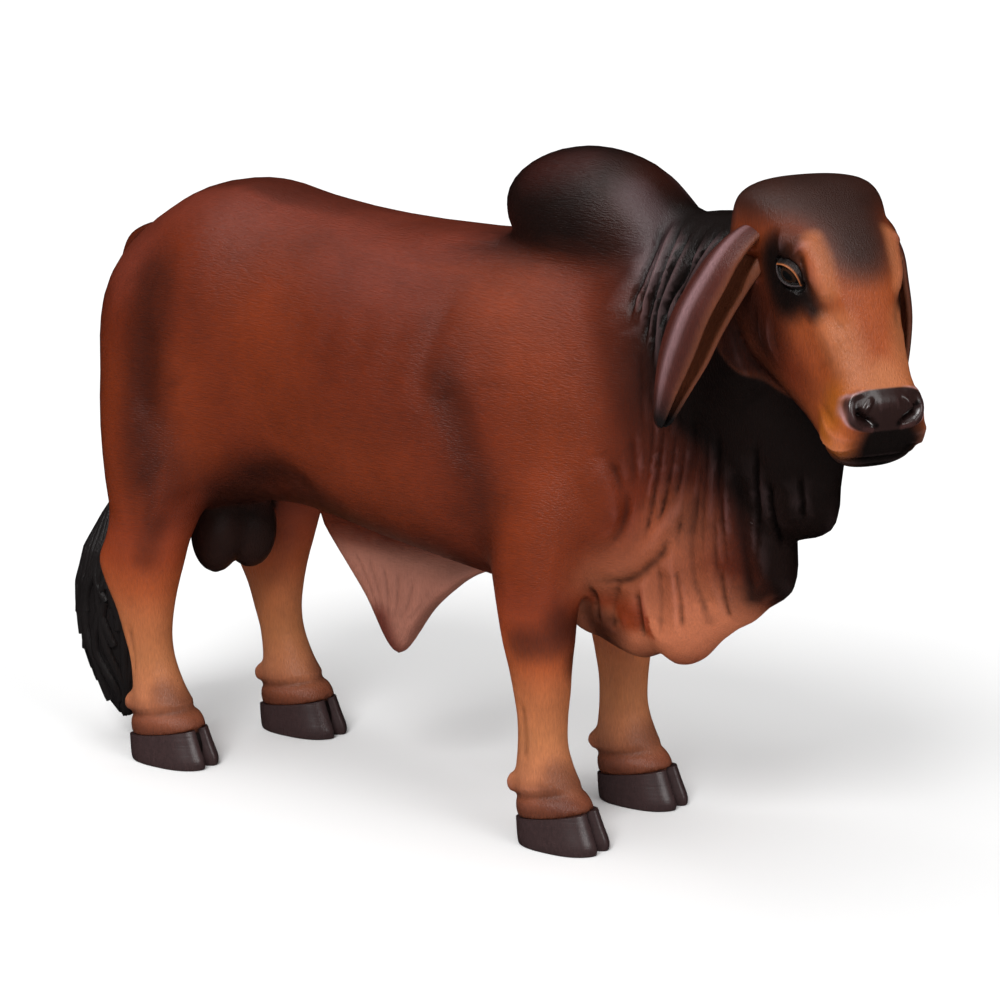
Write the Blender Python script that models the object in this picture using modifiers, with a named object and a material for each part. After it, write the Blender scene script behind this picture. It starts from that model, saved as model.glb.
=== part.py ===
# A life-size painted statue of a standing Brahman bull, in metres, +Z up.
# It faces +X, its left side is +Y, and its four soles stand on Z = 0.
# Soft masses are lofted between a few named sections, fused into one skin,
# carved with strokes, thinned, and parted by thin cuts into named pieces.
import math

import bmesh
import bpy
import numpy as np
from mathutils import Matrix, Vector

# Driving sizes
GAP = 0.0004                 # air left between pieces that touch
FUSE_CELL = 0.010            # cell of the remesh that fuses the masses
SKIN_TRIANGLES = 7800        # the whole skin, before it is parted
HEAD_FINENESS = 0.05          # how much finer the head stays than the trunk
HOOF_HEIGHT = 0.080          # sole to coronet, at the middle of the hoof
HOOF_SLOPE = 10.0            # degrees that the coronet drops towards the heel
EYE_RADIUS = 0.024

# Where each foot stands: middle of the sole
FEET = {
    "front_right": (0.569, -0.192),
    "front_left": (0.531, 0.202),
    "hind_right": (-0.600, -0.203),
    "hind_left": (-0.503, 0.193),
}

# The head: middle of the top of the poll, and the way it is turned
POLL = Vector((1.186, -0.170, 1.632))
HEAD_YAW = math.radians(-28.5)

# Colours, as linear red, green and blue
MAHOGANY = (0.165, 0.036, 0.012)
TAN = (0.40, 0.15, 0.045)
NEAR_BLACK = (0.012, 0.008, 0.007)
HORN_BROWN = (0.045, 0.022, 0.016)
PINK_TAN = (0.45, 0.19, 0.09)


for old in list(bpy.data.objects):
    bpy.data.objects.remove(old, do_unlink=True)

statue = bpy.data.collections.new("brahman_bull_statue")
tools = bpy.data.collections.new("cutters")
bpy.context.scene.collection.children.link(statue)
bpy.context.scene.collection.children.link(tools)


def paint(name, colour, roughness):
    """One Principled material."""
    material = bpy.data.materials.new(name)
    material.use_nodes = True
    shader = material.node_tree.nodes["Principled BSDF"]
    shader.inputs["Base Color"].default_value = (*colour, 1.0)
    shader.inputs["Roughness"].default_value = roughness
    shader.inputs["Metallic"].default_value = 0.0
    return material


def keep(mesh, name, collection=tools):
    """An object for a mesh, hidden when it is only a tool."""
    obj = bpy.data.objects.new(name, mesh)
    collection.objects.link(obj)
    if collection is tools:
        obj.hide_render = True
        obj.display_type = "WIRE"
    return obj


def settle(obj):
    """Applies every modifier of an object."""
    graph = bpy.context.evaluated_depsgraph_get()
    mesh = bpy.data.meshes.new_from_object(obj.evaluated_get(graph))
    obj.modifiers.clear()
    obj.data = mesh
    return obj


def combine(target, cutter, operation, solver="EXACT"):
    """Cuts or joins one object with another, and applies it."""
    step = target.modifiers.new(operation, "BOOLEAN")
    step.operation = operation
    step.solver = solver
    step.object = cutter
    return settle(target)


def drop(*objects):
    for obj in objects:
        bpy.data.objects.remove(obj, do_unlink=True)


def islands(mesh):
    """Lists of face indices, one list for each closed surface, largest first."""
    work = bmesh.new()
    work.from_mesh(mesh)
    work.faces.ensure_lookup_table()
    seen = set()
    groups = []
    for face in work.faces:
        if face.index in seen:
            continue
        seen.add(face.index)
        queue = [face]
        group = []
        while queue:
            here = queue.pop()
            group.append(here.index)
            for edge in here.edges:
                for other in edge.link_faces:
                    if other.index not in seen:
                        seen.add(other.index)
                        queue.append(other)
        groups.append(group)
    work.free()
    return sorted(groups, key=len, reverse=True)


def keep_largest(obj):
    """Keeps only the largest closed surface of a piece."""
    group = set(islands(obj.data)[0])
    work = bmesh.new()
    work.from_mesh(obj.data)
    work.faces.ensure_lookup_table()
    extra = [face for face in work.faces if face.index not in group]
    bmesh.ops.delete(work, geom=extra, context="FACES")
    work.to_mesh(obj.data)
    work.free()
    return obj


def smoothed(values, steps):
    """A smooth run through rows of numbers, with extra rows between them."""
    rows = np.array(values, dtype=float)
    first = 2 * rows[0] - rows[1]
    last = 2 * rows[-1] - rows[-2]
    rows = np.vstack([first, rows, last])
    out = []
    for i in range(1, len(rows) - 2):
        p0, p1, p2, p3 = rows[i - 1:i + 3]
        for k in range(steps):
            t = k / steps
            out.append(0.5 * (2 * p1 + (p2 - p0) * t + (2 * p0 - 5 * p1 + 4 * p2 - p3) * t ** 2
                              + (3 * p1 - p0 - 3 * p2 + p3) * t ** 3))
    out.append(rows[-2])
    return np.array(out)


def superellipse(angle, power):
    """Cosine and sine swollen towards a square as power grows over 2."""
    c, s = math.cos(angle), math.sin(angle)
    return (math.copysign(abs(c) ** (2 / power), c), math.copysign(abs(s) ** (2 / power), s))


def skin_rings(name, rings, collection=tools):
    """A closed mesh through rings of like point counts, with flat ends."""
    work = bmesh.new()
    loops = [[work.verts.new(point) for point in ring] for ring in rings]
    count = len(loops[0])
    for lower, upper in zip(loops, loops[1:]):
        for k in range(count):
            n = (k + 1) % count
            work.faces.new((lower[k], lower[n], upper[n], upper[k]))
    work.faces.new(list(reversed(loops[0])))
    work.faces.new(loops[-1])
    bmesh.ops.recalc_face_normals(work, faces=work.faces)
    mesh = bpy.data.meshes.new(name)
    work.to_mesh(mesh)
    work.free()
    return keep(mesh, name, collection)


def loft(name, sections, sides=32, steps=4):
    """A soft mass through sections. A section runs from a high or front point to a low or
    rear one, and gives half of its width, its fullness, how far up its widest line is,
    and the yaw of its plane: (ax, ay, az, bx, by, bz, half, fullness, widest, yaw)."""
    rings = []
    for row in smoothed(sections, steps):
        high, low = Vector(row[0:3]), Vector(row[3:6])
        half, power, widest, yaw = row[6:10]
        middle = low.lerp(high, widest)
        across = Vector((-math.sin(yaw), math.cos(yaw), 0.0))
        ring = []
        for k in range(sides):
            side, rise = superellipse(2 * math.pi * k / sides, max(power, 1.6))
            end = high if rise > 0 else low
            ring.append(middle + across * (half * side) + (end - middle) * abs(rise))
        rings.append(ring)
    return skin_rings(name, rings)


def ball(name, centre, radii, turn=(0.0, 0.0, 0.0), segments=24):
    """An egg-shaped mass, turned by degrees about X, Y and Z."""
    bpy.ops.mesh.primitive_uv_sphere_add(segments=segments, ring_count=segments * 7 // 12, radius=1.0)
    obj = bpy.context.object
    spin = Matrix.Rotation(math.radians(turn[2]), 4, "Z") @ Matrix.Rotation(math.radians(turn[1]), 4, "Y")
    spin = spin @ Matrix.Rotation(math.radians(turn[0]), 4, "X")
    obj.data.transform(Matrix.Translation(centre) @ spin @ Matrix.Diagonal((*radii, 1.0)))
    mesh = obj.data
    bpy.data.objects.remove(obj)
    return keep(mesh, name)


# Torso: top line, belly line and width, from the rump to the front of the chest
def torso_mass():
    rows = [
        # x top, z top, x low, z low, half width, fullness, widest
        (-0.845, 1.160, -0.845, 1.020, 0.080, 2.2, 0.5),
        (-0.838, 1.215, -0.845, 0.880, 0.155, 2.3, 0.5),
        (-0.806, 1.268, -0.815, 0.780, 0.210, 2.4, 0.5),
        (-0.755, 1.322, -0.760, 0.700, 0.247, 2.4, 0.5),
        (-0.680, 1.376, -0.680, 0.640, 0.270, 2.4, 0.52),
        (-0.580, 1.430, -0.580, 0.620, 0.283, 2.4, 0.56),
        (-0.460, 1.450, -0.440, 0.655, 0.288, 2.4, 0.58),
        (-0.320, 1.430, -0.300, 0.668, 0.285, 2.3, 0.52),
        (-0.160, 1.410, -0.150, 0.655, 0.298, 2.3, 0.46),
        (0.000, 1.400, 0.000, 0.630, 0.312, 2.3, 0.44),
        (0.160, 1.398, 0.150, 0.606, 0.314, 2.3, 0.44),
        (0.300, 1.402, 0.300, 0.580, 0.302, 2.3, 0.46),
        (0.440, 1.410, 0.440, 0.560, 0.280, 2.3, 0.48),
        (0.580, 1.410, 0.580, 0.560, 0.258, 2.2, 0.48),
        (0.700, 1.380, 0.690, 0.570, 0.232, 2.2, 0.48),
        (0.800, 1.290, 0.780, 0.620, 0.185, 2.1, 0.48),
        (0.870, 1.120, 0.850, 0.760, 0.110, 2.0, 0.50),
    ]
    return loft("torso_mass", [(a, 0, b, c, 0, d, e, f, g, 0) for a, b, c, d, e, f, g in rows], 40)


def hump_mass():
    rows = [
        (0.312, 1.500, 0.320, 1.440, 0.040, 2.2),
        (0.324, 1.530, 0.330, 1.410, 0.078, 2.2),
        (0.352, 1.562, 0.355, 1.380, 0.106, 2.2),
        (0.408, 1.594, 0.405, 1.330, 0.130, 2.2),
        (0.480, 1.612, 0.480, 1.290, 0.145, 2.2),
        (0.560, 1.612, 0.560, 1.270, 0.150, 2.2),
        (0.635, 1.594, 0.640, 1.260, 0.146, 2.2),
        (0.700, 1.560, 0.715, 1.250, 0.134, 2.2),
        (0.755, 1.512, 0.790, 1.250, 0.118, 2.1),
        (0.830, 1.480, 0.850, 1.280, 0.085, 2.0),
    ]
    return loft("hump_mass", [(a, 0, b, c, 0, d, e, f, 0.5, 0) for a, b, c, d, e, f in rows])


# Neck: crest, throat and width, bending towards the bull's right
def neck_mass():
    turn = math.radians
    rows = [
        (0.560, 0.000, 1.400, 0.600, 0.000, 0.640, 0.230, 2.2, 0.5, 0),
        (0.730, 0.000, 1.470, 0.780, 0.000, 0.700, 0.222, 2.2, 0.5, 0),
        (0.850, -0.015, 1.500, 0.900, -0.015, 0.820, 0.200, 2.2, 0.52, turn(-6)),
        (0.940, -0.050, 1.512, 0.990, -0.060, 0.930, 0.175, 2.2, 0.54, turn(-13)),
        (1.020, -0.095, 1.518, 1.070, -0.110, 1.040, 0.155, 2.2, 0.56, turn(-20)),
        (1.100, -0.135, 1.500, 1.130, -0.150, 1.140, 0.135, 2.2, 0.56, turn(-27)),
    ]
    return loft("neck_mass", rows)


# Dewlap: a heavy curtain of skin from the brisket up to the throat
def dewlap_mass():
    rows = [
        # root in the chest or neck, free edge, half width near the root, fullness
        (0.420, 0.00, 0.640, 0.420, 0.000, 0.540, 0.060, 2.2),
        (0.500, 0.00, 0.680, 0.500, 0.000, 0.472, 0.085, 2.1),
        (0.560, 0.00, 0.715, 0.560, 0.000, 0.458, 0.105, 2.0),
        (0.615, 0.00, 0.755, 0.622, 0.000, 0.436, 0.125, 1.95),
        (0.660, 0.00, 0.790, 0.680, -0.005, 0.428, 0.140, 1.9),
        (0.695, 0.00, 0.820, 0.736, -0.010, 0.450, 0.148, 1.9),
        (0.730, 0.00, 0.855, 0.785, -0.015, 0.430, 0.155, 1.85),
        (0.765, 0.00, 0.890, 0.842, -0.020, 0.452, 0.158, 1.8),
        (0.795, -0.01, 0.925, 0.888, -0.020, 0.500, 0.158, 1.75),
        (0.820, -0.02, 0.960, 0.935, -0.020, 0.538, 0.155, 1.75),
        (0.840, -0.02, 0.990, 0.985, -0.025, 0.566, 0.150, 1.75),
        (0.858, -0.03, 1.015, 1.024, -0.025, 0.604, 0.146, 1.75),
        (0.872, -0.03, 1.035, 1.075, -0.035, 0.636, 0.142, 1.75),
        (0.886, -0.04, 1.055, 1.096, -0.045, 0.668, 0.138, 1.75),
        (0.900, -0.05, 1.078, 1.096, -0.050, 0.720, 0.134, 1.75),
        (0.914, -0.05, 1.098, 1.100, -0.055, 0.772, 0.130, 1.75),
        (0.930, -0.06, 1.118, 1.145, -0.065, 0.790, 0.126, 1.75),
        (0.946, -0.07, 1.138, 1.200, -0.075, 0.810, 0.120, 1.75),
        (0.964, -0.08, 1.165, 1.232, -0.088, 0.850, 0.115, 1.75),
        (0.984, -0.09, 1.195, 1.240, -0.095, 0.915, 0.110, 1.75),
        (1.020, -0.10, 1.240, 1.258, -0.110, 1.000, 0.100, 1.75),
        (1.060, -0.12, 1.280, 1.258, -0.140, 1.090, 0.090, 1.8),
    ]
    sections = [(a, b, c, d, e, f, g, h, 0.78, 0) for a, b, c, d, e, f, g, h in rows]
    return loft("dewlap_mass", sections, steps=3)


def head_point(forward, up, left=0.0):
    """A point given along the face, upwards and to the head's left, from the poll."""
    ahead = Vector((math.cos(HEAD_YAW), math.sin(HEAD_YAW), 0.0))
    across = Vector((-math.sin(HEAD_YAW), math.cos(HEAD_YAW), 0.0))
    return POLL + ahead * forward + across * left + Vector((0, 0, up))


def head_mass():
    rows = [
        # forehead line, jaw line, half width, fullness, widest
        (-0.085, -0.060, -0.120, -0.200, 0.080, 2.2, 0.60),
        (-0.060, -0.016, -0.130, -0.300, 0.135, 2.4, 0.75),
        (0.000, 0.000, -0.118, -0.378, 0.160, 2.7, 0.84),
        (0.070, -0.006, -0.078, -0.428, 0.160, 2.7, 0.82),
        (0.140, -0.040, -0.020, -0.463, 0.144, 2.5, 0.75),
        (0.203, -0.088, 0.036, -0.490, 0.136, 2.4, 0.71),
        (0.244, -0.142, 0.084, -0.512, 0.122, 2.4, 0.66),
        (0.271, -0.204, 0.124, -0.533, 0.106, 2.4, 0.60),
        (0.292, -0.262, 0.160, -0.552, 0.097, 2.5, 0.56),
        (0.313, -0.320, 0.195, -0.572, 0.093, 2.6, 0.54),
        (0.335, -0.375, 0.234, -0.586, 0.100, 2.7, 0.54),
        (0.351, -0.412, 0.274, -0.590, 0.106, 2.7, 0.55),
        (0.361, -0.445, 0.310, -0.580, 0.102, 2.6, 0.56),
        (0.359, -0.474, 0.336, -0.553, 0.066, 2.3, 0.56),
    ]
    sections = []
    for a, b, c, d, half, power, widest in rows:
        high, low = head_point(a, b), head_point(c, d)
        sections.append((*high, *low, half, power, widest, HEAD_YAW))
    return loft("head_mass", sections, 40)


# Legs: height, middle ahead of the foot, half length, half width, middle outwards
FRONT_LEG = [
    (1.020, -0.050, 0.150, 0.080, -0.050),
    (0.900, -0.045, 0.165, 0.105, -0.030),
    (0.800, -0.055, 0.152, 0.108, -0.012),
    (0.700, -0.066, 0.126, 0.098, 0.000),
    (0.600, -0.070, 0.106, 0.088, 0.004),
    (0.500, -0.068, 0.090, 0.077, 0.002),
    (0.420, -0.063, 0.075, 0.068, 0.000),
    (0.360, -0.058, 0.067, 0.062, 0.000),
    (0.300, -0.056, 0.060, 0.055, 0.000),
    (0.235, -0.055, 0.060, 0.054, 0.000),
    (0.180, -0.048, 0.071, 0.060, 0.000),
    (0.140, -0.039, 0.083, 0.066, 0.000),
    (0.100, -0.022, 0.094, 0.070, 0.000),
    (0.060, -0.010, 0.100, 0.072, 0.000),
    (0.020, 0.000, 0.100, 0.070, 0.000),
]
HIND_LEG = [
    (1.080, -0.030, 0.150, 0.080, -0.070),
    (0.960, -0.035, 0.196, 0.115, -0.050),
    (0.840, -0.042, 0.172, 0.128, -0.035),
    (0.720, -0.050, 0.142, 0.118, -0.020),
    (0.630, -0.050, 0.120, 0.100, -0.008),
    (0.560, -0.070, 0.113, 0.086, 0.000),
    (0.500, -0.092, 0.118, 0.078, 0.000),
    (0.440, -0.092, 0.100, 0.068, 0.000),
    (0.375, -0.083, 0.077, 0.058, 0.000),
    (0.314, -0.076, 0.064, 0.052, 0.000),
    (0.255, -0.062, 0.059, 0.050, 0.000),
    (0.190, -0.044, 0.068, 0.057, 0.000),
    (0.145, -0.029, 0.084, 0.065, 0.000),
    (0.100, -0.016, 0.099, 0.071, 0.000),
    (0.060, -0.004, 0.106, 0.074, 0.000),
    (0.020, 0.004, 0.106, 0.072, 0.000),
]


def leg_mass(corner):
    x, y = FEET[corner]
    outwards = 1 if y > 0 else -1
    table = FRONT_LEG if corner.startswith("front") else HIND_LEG
    sections = []
    for z, ahead, length, half, out in table:
        side = y + outwards * out
        middle = x + ahead
        sections.append((middle + length, side, z, middle - length, side, z, half, 2.2, 0.5, 0))
    return loft("leg_mass_" + corner, sections, 28)


def dewclaws(corner):
    x, y = FEET[corner]
    back = x - 0.115 if corner.startswith("front") else x - 0.108
    return [ball("dewclaw", (back, y + side * 0.028, 0.140), (0.024, 0.020, 0.026)) for side in (-1, 1)]


def sheath_mass():
    rows = [
        (-0.290, 0, 0.720, -0.260, 0, 0.605, 0.034),
        (-0.200, 0, 0.700, -0.190, 0, 0.520, 0.044),
        (-0.100, 0, 0.680, -0.130, 0, 0.440, 0.048),
        (0.000, 0, 0.660, -0.074, 0, 0.338, 0.046),
        (0.080, 0, 0.640, -0.030, 0, 0.326, 0.044),
        (0.160, 0, 0.610, 0.040, 0, 0.430, 0.040),
        (0.240, 0, 0.600, 0.150, 0, 0.530, 0.034),
        (0.300, 0, 0.600, 0.250, 0, 0.580, 0.028),
    ]
    return loft("sheath_mass", [(a, b, c, d, e, f, g, 2.2, 0.5, 0) for a, b, c, d, e, f, g in rows], 24)


def weigh(obj, name, weight_at):
    """A vertex group whose weight is a function of the point."""
    group = obj.vertex_groups.new(name=name)
    for vertex in obj.data.vertices:
        group.add([vertex.index], weight_at(vertex.co), "REPLACE")


def pastern_ring(corner, height, length, width, ahead):
    """A ring of points round a leg, dropping towards the heel as the coronet does."""
    x, y = FEET[corner]
    slope = math.tan(math.radians(HOOF_SLOPE))
    points = []
    for k in range(17):
        angle = 2 * math.pi * k / 16
        along = ahead + length * math.cos(angle)
        points.append(Vector((x + along, y + width * math.sin(angle), height + slope * along)))
    return points


def head_share(point):
    """0 behind the head, rising to 1 on it."""
    ahead = Vector((math.cos(HEAD_YAW), math.sin(HEAD_YAW), 0.0))
    into_head = (point - POLL).dot(ahead) + 0.16 + 0.3 * max(0.0, 1.2 - point.z)
    return min(max(into_head / 0.08, 0.0), 1.0) if point.z > 1.02 else 0.0


def leg_share(point):
    """0 on the trunk, rising to 1 on the lower legs."""
    return min(max((0.62 - point.z) / 0.12, 0.0), 1.0)


def relax_weight(point):
    """Light on the head and the lower legs."""
    return 1.0 - 0.80 * max(head_share(point), leg_share(point))


def join_weight(point):
    """1 where shoulders, thighs, hump and throat run into the trunk."""
    side = abs(point.y)
    joins = [
        ((point.x - 0.50) / 0.34, (side - 0.22) / 0.22, (point.z - 0.86) / 0.34),
        ((point.x + 0.62) / 0.34, (side - 0.22) / 0.22, (point.z - 0.86) / 0.30),
        ((point.x - 0.85) / 0.22, (side - 0.15) / 0.22, (point.z - 1.05) / 0.36),
        ((point.x - 0.62) / 0.30, side / 0.30, (point.z - 1.36) / 0.07),
    ]
    reach = min(a * a + b * b + c * c for a, b, c in joins)
    return max(0.0, min(1.0, 1.35 - reach)) * (1.0 - head_share(point))


def thin_weight(point):
    return 1.0 - 0.30 * head_share(point) - 0.10 * leg_share(point)


def fuse(masses, cell, passes):
    """One closed skin around all masses, with its joins rounded."""
    work = bmesh.new()
    for obj in masses:
        work.from_mesh(obj.data)
    mesh = bpy.data.meshes.new("skin")
    work.to_mesh(mesh)
    work.free()
    drop(*masses)
    skin = keep(mesh, "skin")
    remesh = skin.modifiers.new("fuse", "REMESH")
    remesh.mode = "VOXEL"
    remesh.voxel_size = cell
    settle(skin)
    for name, weight_at, count in (("light", relax_weight, passes), ("joins", join_weight, passes * 5)):
        weigh(skin, name, weight_at)
        relax = skin.modifiers.new("relax", "SMOOTH")
        relax.factor = 0.6
        relax.iterations = count
        relax.vertex_group = name
        settle(skin)
        skin.vertex_groups.clear()
    return skin


def carve(obj, points, radius, depth):
    """Presses a soft groove along a line of points, or raises a ridge if depth is negative."""
    mesh = obj.data
    count = len(mesh.vertices)
    place = np.empty(count * 3)
    normal = np.empty(count * 3)
    mesh.vertices.foreach_get("co", place)
    mesh.vertices.foreach_get("normal", normal)
    place, normal = place.reshape(-1, 3), normal.reshape(-1, 3)
    line = smoothed([tuple(point) for point in points], 4) if len(points) > 2 else np.array(points)
    nearest = np.full(count, np.inf)
    for start, end in zip(line, line[1:]):
        along = end - start
        t = np.clip(((place - start) @ along) / max(along @ along, 1e-12), 0, 1)
        nearest = np.minimum(nearest, np.linalg.norm(place - start - t[:, None] * along, axis=1))
    soft = np.clip(1 - (nearest / radius) ** 2, 0, 1) ** 2
    place -= normal * (soft * depth)[:, None]
    mesh.vertices.foreach_set("co", place.ravel())
    mesh.update()


def offset_outline(outline, margin):
    """The outline moved outwards by a margin; its points run anticlockwise."""
    out = []
    count = len(outline)
    for i in range(count):
        before, here, after = (Vector(outline[(i + k) % count]) for k in (-1, 0, 1))
        first, second = (here - before).normalized(), (after - here).normalized()
        n1, n2 = Vector((first.y, -first.x)), Vector((second.y, -second.x))
        out.append(here + (n1 + n2) * (margin / (1 + n1.dot(n2))))
    return out


def prism(outline, view, low, high, margin=0.0, yaw=0.0, pivot=Vector()):
    """A cutter: an outline seen from the side (x, z) or the front (y, z), and its depth."""
    flat = offset_outline(outline, margin)
    low, high = low - margin, high + margin
    rings = []
    for depth in (low, high):
        if view == "side":
            ring = [Vector((a, depth, b)) for a, b in flat]
        else:
            ring = [Vector((depth, a, b)) for a, b in flat]
        rings.append([pivot + Matrix.Rotation(yaw, 3, "Z") @ point for point in ring])
    return skin_rings("cutter", rings)


def copy_of(obj, name):
    return keep(obj.data.copy(), name)


def part_off(body, name, *region, **turned):
    """Takes the share of a body inside a region as a new piece, with a thin gap between."""
    piece = copy_of(body, name)
    inner = prism(*region, margin=-GAP, **turned)
    combine(piece, inner, "INTERSECT")
    outer = prism(*region, **turned)
    combine(body, outer, "DIFFERENCE")
    drop(inner, outer)
    return keep_largest(piece)


def swollen(obj, margin):
    """A copy whose surface stands out by a margin."""
    copy = copy_of(obj, "swollen")
    shifts = [vertex.normal * margin for vertex in copy.data.vertices]
    for vertex, shift in zip(copy.data.vertices, shifts):
        vertex.co += shift
    return copy


def thin(obj, triangles, group=None):
    step = obj.modifiers.new("thin", "DECIMATE")
    faces = sum(len(face.vertices) - 2 for face in obj.data.polygons)
    step.ratio = triangles / faces
    step.use_collapse_triangulate = True
    if group:
        step.vertex_group = group
        step.vertex_group_factor = HEAD_FINENESS
    return settle(obj)


masses = [torso_mass(), hump_mass(), neck_mass(), dewlap_mass(), head_mass(), sheath_mass()]
for corner in FEET:
    masses.append(leg_mass(corner))
    masses.extend(dewclaws(corner))
for side in (-1, 1):
    masses.append(ball("shoulder", (0.500, side * 0.150, 1.020), (0.240, 0.150, 0.330), (0, -12, 0)))
skin = fuse(masses, FUSE_CELL, 14)

# Relief of the legs: a swollen coronet above each hoof, under a crease
for corner in FEET:
    carve(skin, pastern_ring(corner, 0.102, 0.098, 0.072, -0.018), 0.026, -0.003)
    carve(skin, pastern_ring(corner, 0.134, 0.090, 0.068, -0.028), 0.018, 0.006)

# Relief of the chest: pleats that part the dewlap and the brisket into lobes
PLEATS = [
    [(0.885, -0.12, 0.857), (0.867, -0.12, 0.762), (0.882, -0.12, 0.671), (0.904, -0.11, 0.627),
     (0.920, -0.09, 0.575)],
    [(0.764, -0.12, 0.700), (0.778, -0.12, 0.605), (0.784, -0.11, 0.510), (0.800, -0.09, 0.478)],
    [(0.668, -0.12, 0.635), (0.650, -0.11, 0.560), (0.655, -0.10, 0.500)],
    [(0.990, -0.12, 0.941), (0.990, -0.11, 0.823), (1.004, -0.10, 0.732), (1.030, -0.09, 0.643)],
]
for pleat in PLEATS:
    carve(skin, pleat, 0.045, 0.012)
    carve(skin, [(x, -y * 0.7, z) for x, y, z in pleat], 0.045, 0.012)

# Relief of the skin: brows, eye hollows, cheeks, lips and nose, then folds of the neck
for side in (-1, 1):
    def face(forward, up, left):
        return head_point(forward, up, side * left)

    carve(skin, [face(0.110, -0.120, 0.140), face(0.160, -0.115, 0.120), face(0.195, -0.140, 0.100)],
          0.042, -0.010)
    carve(skin, [face(0.130, -0.180, 0.140), face(0.160, -0.190, 0.130)], 0.045, 0.005)
    carve(skin, [face(0.205, -0.200, 0.112), face(0.250, -0.250, 0.094), face(0.280, -0.310, 0.090)],
          0.040, 0.007)
    carve(skin, [face(0.020, -0.150, 0.150), face(0.030, -0.220, 0.130)], 0.060, 0.014)
    carve(skin, [face(0.030, -0.330, 0.090), face(0.100, -0.330, 0.095)], 0.080, -0.010)
    carve(skin, [face(0.250, -0.500, 0.090), face(0.310, -0.495, 0.098), face(0.355, -0.492, 0.060),
                 face(0.375, -0.492, 0.0)], 0.016, 0.007)
    carve(skin, [face(0.360, -0.415, 0.075), face(0.345, -0.440, 0.100), face(0.350, -0.465, 0.090)],
          0.020, -0.008)


weigh(skin, "thin", thin_weight)
thin(skin, SKIN_TRIANGLES, "thin")
skin.vertex_groups.clear()
shell = swollen(skin, GAP * 1.6)

# Legs and hooves: each leg ends on its hoof, along the slanting coronet
PIECES = {}


def hoof_piece(corner):
    """A cloven hoof: an outline with a cleft in front, swelling towards the flat sole."""
    x, y = FEET[corner]
    length, width = (0.112, 0.077) if corner.startswith("front") else (0.117, 0.077)
    levels = [
        # height, share of the full outline, shift forward
        (0.000, 0.955, 0.004),
        (0.006, 0.995, 0.004),
        (0.022, 1.000, 0.002),
        (0.060, 0.945, -0.008),
        (0.120, 0.860, -0.022),
    ]
    sides = 36
    rings = []
    for height, share, ahead in levels:
        ring = []
        for k in range(sides):
            angle = 2 * math.pi * (k + 0.5) / sides
            along, across = superellipse(angle, 2.5)
            deep, wide = (0.30, 0.16) if along > 0 else (0.12, 0.20)
            cleft = deep * math.exp(-(across / wide) ** 2)
            ring.append(Vector((x + ahead + length * share * along * (1 - cleft),
                                y + width * share * across, height)))
        rings.append(ring)
    return skin_rings("hoof_" + corner, rings)


for corner, (x, y) in FEET.items():
    side = 1 if y > 0 else -1
    top = math.tan(math.radians(HOOF_SLOPE)) * 0.3
    ground = [(x - 0.3, -0.2), (x + 0.3, -0.2), (x + 0.3, HOOF_HEIGHT + top), (x - 0.3, HOOF_HEIGHT - top)]
    cutter = prism(ground, "side", y - 0.14, y + 0.14)
    combine(skin, cutter, "DIFFERENCE")
    drop(cutter)
    hoof = hoof_piece(corner)
    cutter = prism(ground, "side", y - 0.2, y + 0.2, margin=-GAP)
    combine(hoof, cutter, "INTERSECT")
    drop(cutter)
    PIECES["hoof_" + corner] = keep_largest(hoof)

for corner, (x, y) in FEET.items():
    side = 1 if y > 0 else -1
    inner, outer = side * 0.088, side * 0.480
    if corner.startswith("front"):
        inside, outside, rear, ahead = 0.585, 0.760, 0.300, 0.700
    else:
        inside, outside, rear, ahead = 0.640, 0.860, -1.000, -0.380
    outline = [(inner, -0.1), (outer, -0.1), (outer, outside), (inner, inside)]
    if side < 0:
        outline.reverse()
    name = "leg_" + corner
    PIECES[name] = part_off(skin, name, outline, "front", rear, ahead)

# Sheath, head, dewlap, hump and neck, parted in this order from the trunk
below_belly = [(-0.34, 0.2), (0.36, 0.2), (0.36, 0.560), (0.10, 0.600), (-0.20, 0.628), (-0.34, 0.628)]
PIECES["sheath"] = part_off(skin, "sheath", below_belly, "side", -0.09, 0.09)
nape = [(-0.070, 0.3), (-0.115, -0.200), (0.120, -0.560), (0.120, -0.9), (0.9, -0.9), (0.9, 0.3)]
PIECES["head"] = part_off(skin, "head", nape, "side", -0.5, 0.5, yaw=HEAD_YAW, pivot=POLL)
curtain = [(0.745, 0.2), (1.6, 0.2), (1.6, 1.20), (1.105, 1.20), (0.905, 0.78)]
PIECES["dewlap"] = part_off(skin, "dewlap", curtain, "side", -0.6, 0.6)
crown = [(0.15, 1.425), (0.45, 1.395), (0.74, 1.425), (0.80, 1.9), (0.15, 1.9)]
PIECES["hump"] = part_off(skin, "hump", crown, "side", -0.4, 0.4)
front = [(0.83, 0.3), (1.6, 0.3), (1.6, 1.9), (0.70, 1.9)]
PIECES["neck"] = part_off(skin, "neck", front, "side", -0.6, 0.6)
PIECES["torso"] = keep_largest(skin)


def attach(piece):
    """Cuts a rooted piece back from the skin, leaving a thin gap."""
    combine(piece, shell, "DIFFERENCE")
    return keep_largest(piece)


def join_all(name, objects):
    """One closed piece from overlapping ones."""
    group = bpy.data.collections.new(name + "_pieces")
    first = objects[0]
    for obj in objects[1:]:
        group.objects.link(obj)
    step = first.modifiers.new("join", "BOOLEAN")
    step.operation = "UNION"
    step.operand_type = "COLLECTION"
    step.collection = group
    step.solver = "EXACT"
    settle(first)
    drop(*objects[1:])
    bpy.data.collections.remove(group)
    first.name = name
    return keep_largest(first)


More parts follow.
